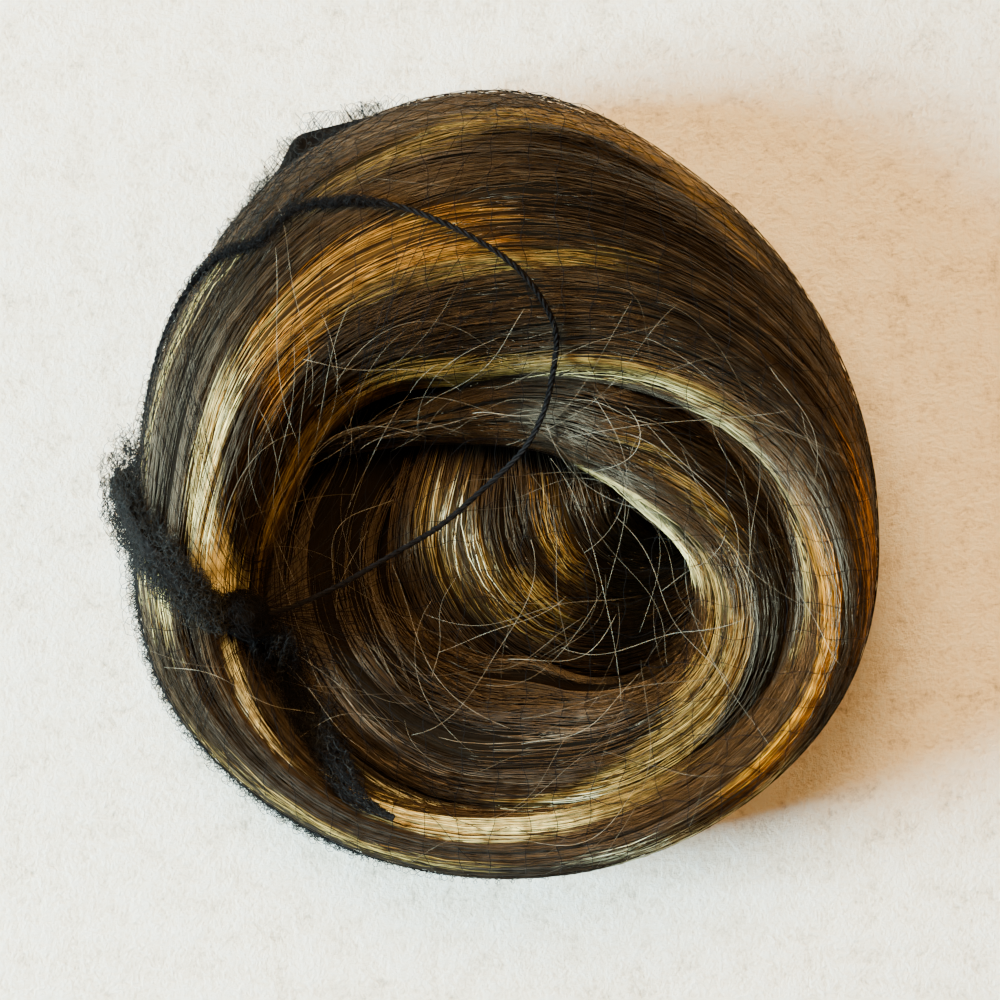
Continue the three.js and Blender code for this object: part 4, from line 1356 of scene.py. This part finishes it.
def caught_round(line, count, reach, sizes):
    """Threads of the net's last meshes, caught round a line."""
    way = np.linspace(0, 1, CAUGHT_POINTS)
    share = each(*reach, count) + each(0.02, 0.08, count) * way
    steps = np.linspace(0, 1, len(line))
    place = np.stack([np.interp(share, steps, axis) for axis in line.T], axis=-1)
    spin = each(12, 34, count) * way + phases(count)
    size = each(*sizes, count)
    high = 0.5 * size * (1 + np.sin(0.7 * spin))
    curl = np.stack([size * np.sin(spin), size * np.cos(1.3 * spin), high], axis=-1)
    return place + curl + 0.02 * draw.normal(0, 1, curl.shape)


def knot_rays(count):
    """Threads that spread from the knot into the net over the bowl."""
    way = np.linspace(0, 1, CAUGHT_POINTS)
    turned = np.radians(each(-80, 50, count)) + draw.normal(0, 0.3, count)[:, None] * way
    step = each(6, 26, count) * way
    start = knot_middle - COIL_MIDDLE
    flat = start[:2] + np.stack([step * np.cos(turned), step * np.sin(turned)], axis=-1)
    net = on_grid(net_top, flat)
    z = net + (start[2] - net[:, :1]) * (1 - way) ** 2
    paths = np.concatenate([flat, z[..., None]], axis=-1) + COIL_MIDDLE
    return paths + 0.05 * draw.normal(0, 1, paths.shape)


clip_edge = smooth_path(np.array(CLIP_OUTLINE) + COIL_MIDDLE, STRIP_STATIONS)
loops = [
    edge_loops(40, (-268, -90), (0.25, 0.8)),
    edge_loops(110, (-218, -120), (0.35, 1.1), (-14, 24)),
    edge_loops(18, (-292, -250), (0.25, 0.6), (8, 45), (2, 5)),
    edge_loops(50, (-200, -168), (0.4, 1.5)),
    edge_loops(22, (-258, -222), (0.5, 1.5), (-10, 40), (2, 5)),
    edge_loops(40, (-244, -216), (0.3, 0.9), (20, 52)),
    caught_round(clip_edge, 40, (-0.05, 0.95), (0.8, 2.2)),
]
caught = [
    knot_rays(90),
    caught_round(cord_line, 90, (-0.03, 0.92), (0.2, 0.55)),
    caught_round(cord_line, 90, (0.6, 0.82), (0.4, 1.1)),
]
fuzz_piece("caught_threads", caught)
fuzz_piece("edge_loops", loops, fine_thread)

# %% Loose hairs
LOOSE_SHADES = ["a8a590", "827d6a", "655f4e", "4c4538"]
LOOSE_EDGE = 20.0
LOOSE_POINTS = 22


def loose_hairs(count, middle, spread, lengths, rise):
    """Fine hairs that start near a place, head roughly along the coil and arch a little over the net."""
    start = np.array(middle) + draw.normal(0, 1, (count, 2)) * np.array(spread)
    round_coil = np.arctan2(start[:, 1] + 12, start[:, 0] - 2) - np.pi / 2
    heading = round_coil + draw.normal(0, 0.45, count)
    bend = draw.normal(-0.4, 0.7, count)
    way = np.linspace(0, 1, LOOSE_POINTS)
    length = draw.uniform(*lengths, count) / (LOOSE_POINTS - 1)
    wave = 0.25 * np.sin(each(3, 8, count) * way + phases(count))
    turned = heading[:, None] + bend[:, None] * way + wave
    step = length[:, None, None] * np.stack([np.cos(turned), np.sin(turned)], axis=-1)
    flat = start[:, None] + np.cumsum(step, axis=1) - step[:, :1]
    flat = flat[over_coil(flat, LOOSE_EDGE).all(axis=1)]
    count = len(flat)
    arch = each(*rise, count) * 4 * way * (1 - way)
    z = on_grid(net_top, flat) + arch - 0.6 * np.abs(2 * way - 1) ** 6
    paths = np.concatenate([flat, np.maximum(z, 0.2)[..., None]], axis=-1) + COIL_MIDDLE
    shades = np.array([linear(name) for name in LOOSE_SHADES])
    tone = each(0.7, 1.1, count)
    own = shades[draw.integers(0, len(shades), count)] * tone
    return paths, each(0.012, 0.02, count), np.repeat(own[:, None], LOOSE_POINTS, axis=1)


loose = [
    loose_hairs(32, (16.0, -10.0), (13.0, 15.0), (14, 42), (0.2, 2.0)),
    loose_hairs(38, (2.0, 10.0), (12.0, 4.0), (12, 34), (0.2, 1.6)),
    loose_hairs(32, (-33.0, -6.0), (5.0, 12.0), (12, 34), (0.2, 1.6)),
    loose_hairs(12, (5.0, 36.0), (28.0, 10.0), (18, 40), (0.1, 0.6)),
    loose_hairs(22, (36.0, -20.0), (8.0, 18.0), (14, 40), (0.1, 0.6)),
    loose_hairs(26, (-6.0, -34.0), (16.0, 6.0), (14, 40), (0.1, 0.8)),
]
batches = [(paths, radius, HAIR_SIDES) for paths, radius, _ in loose]
loose_piece = tube_piece("loose_hairs", batches, single_hair, [colours for _, _, colours in loose])
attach(loose_piece, "root")
print("loose hairs:", triangles(loose_piece), "triangles")
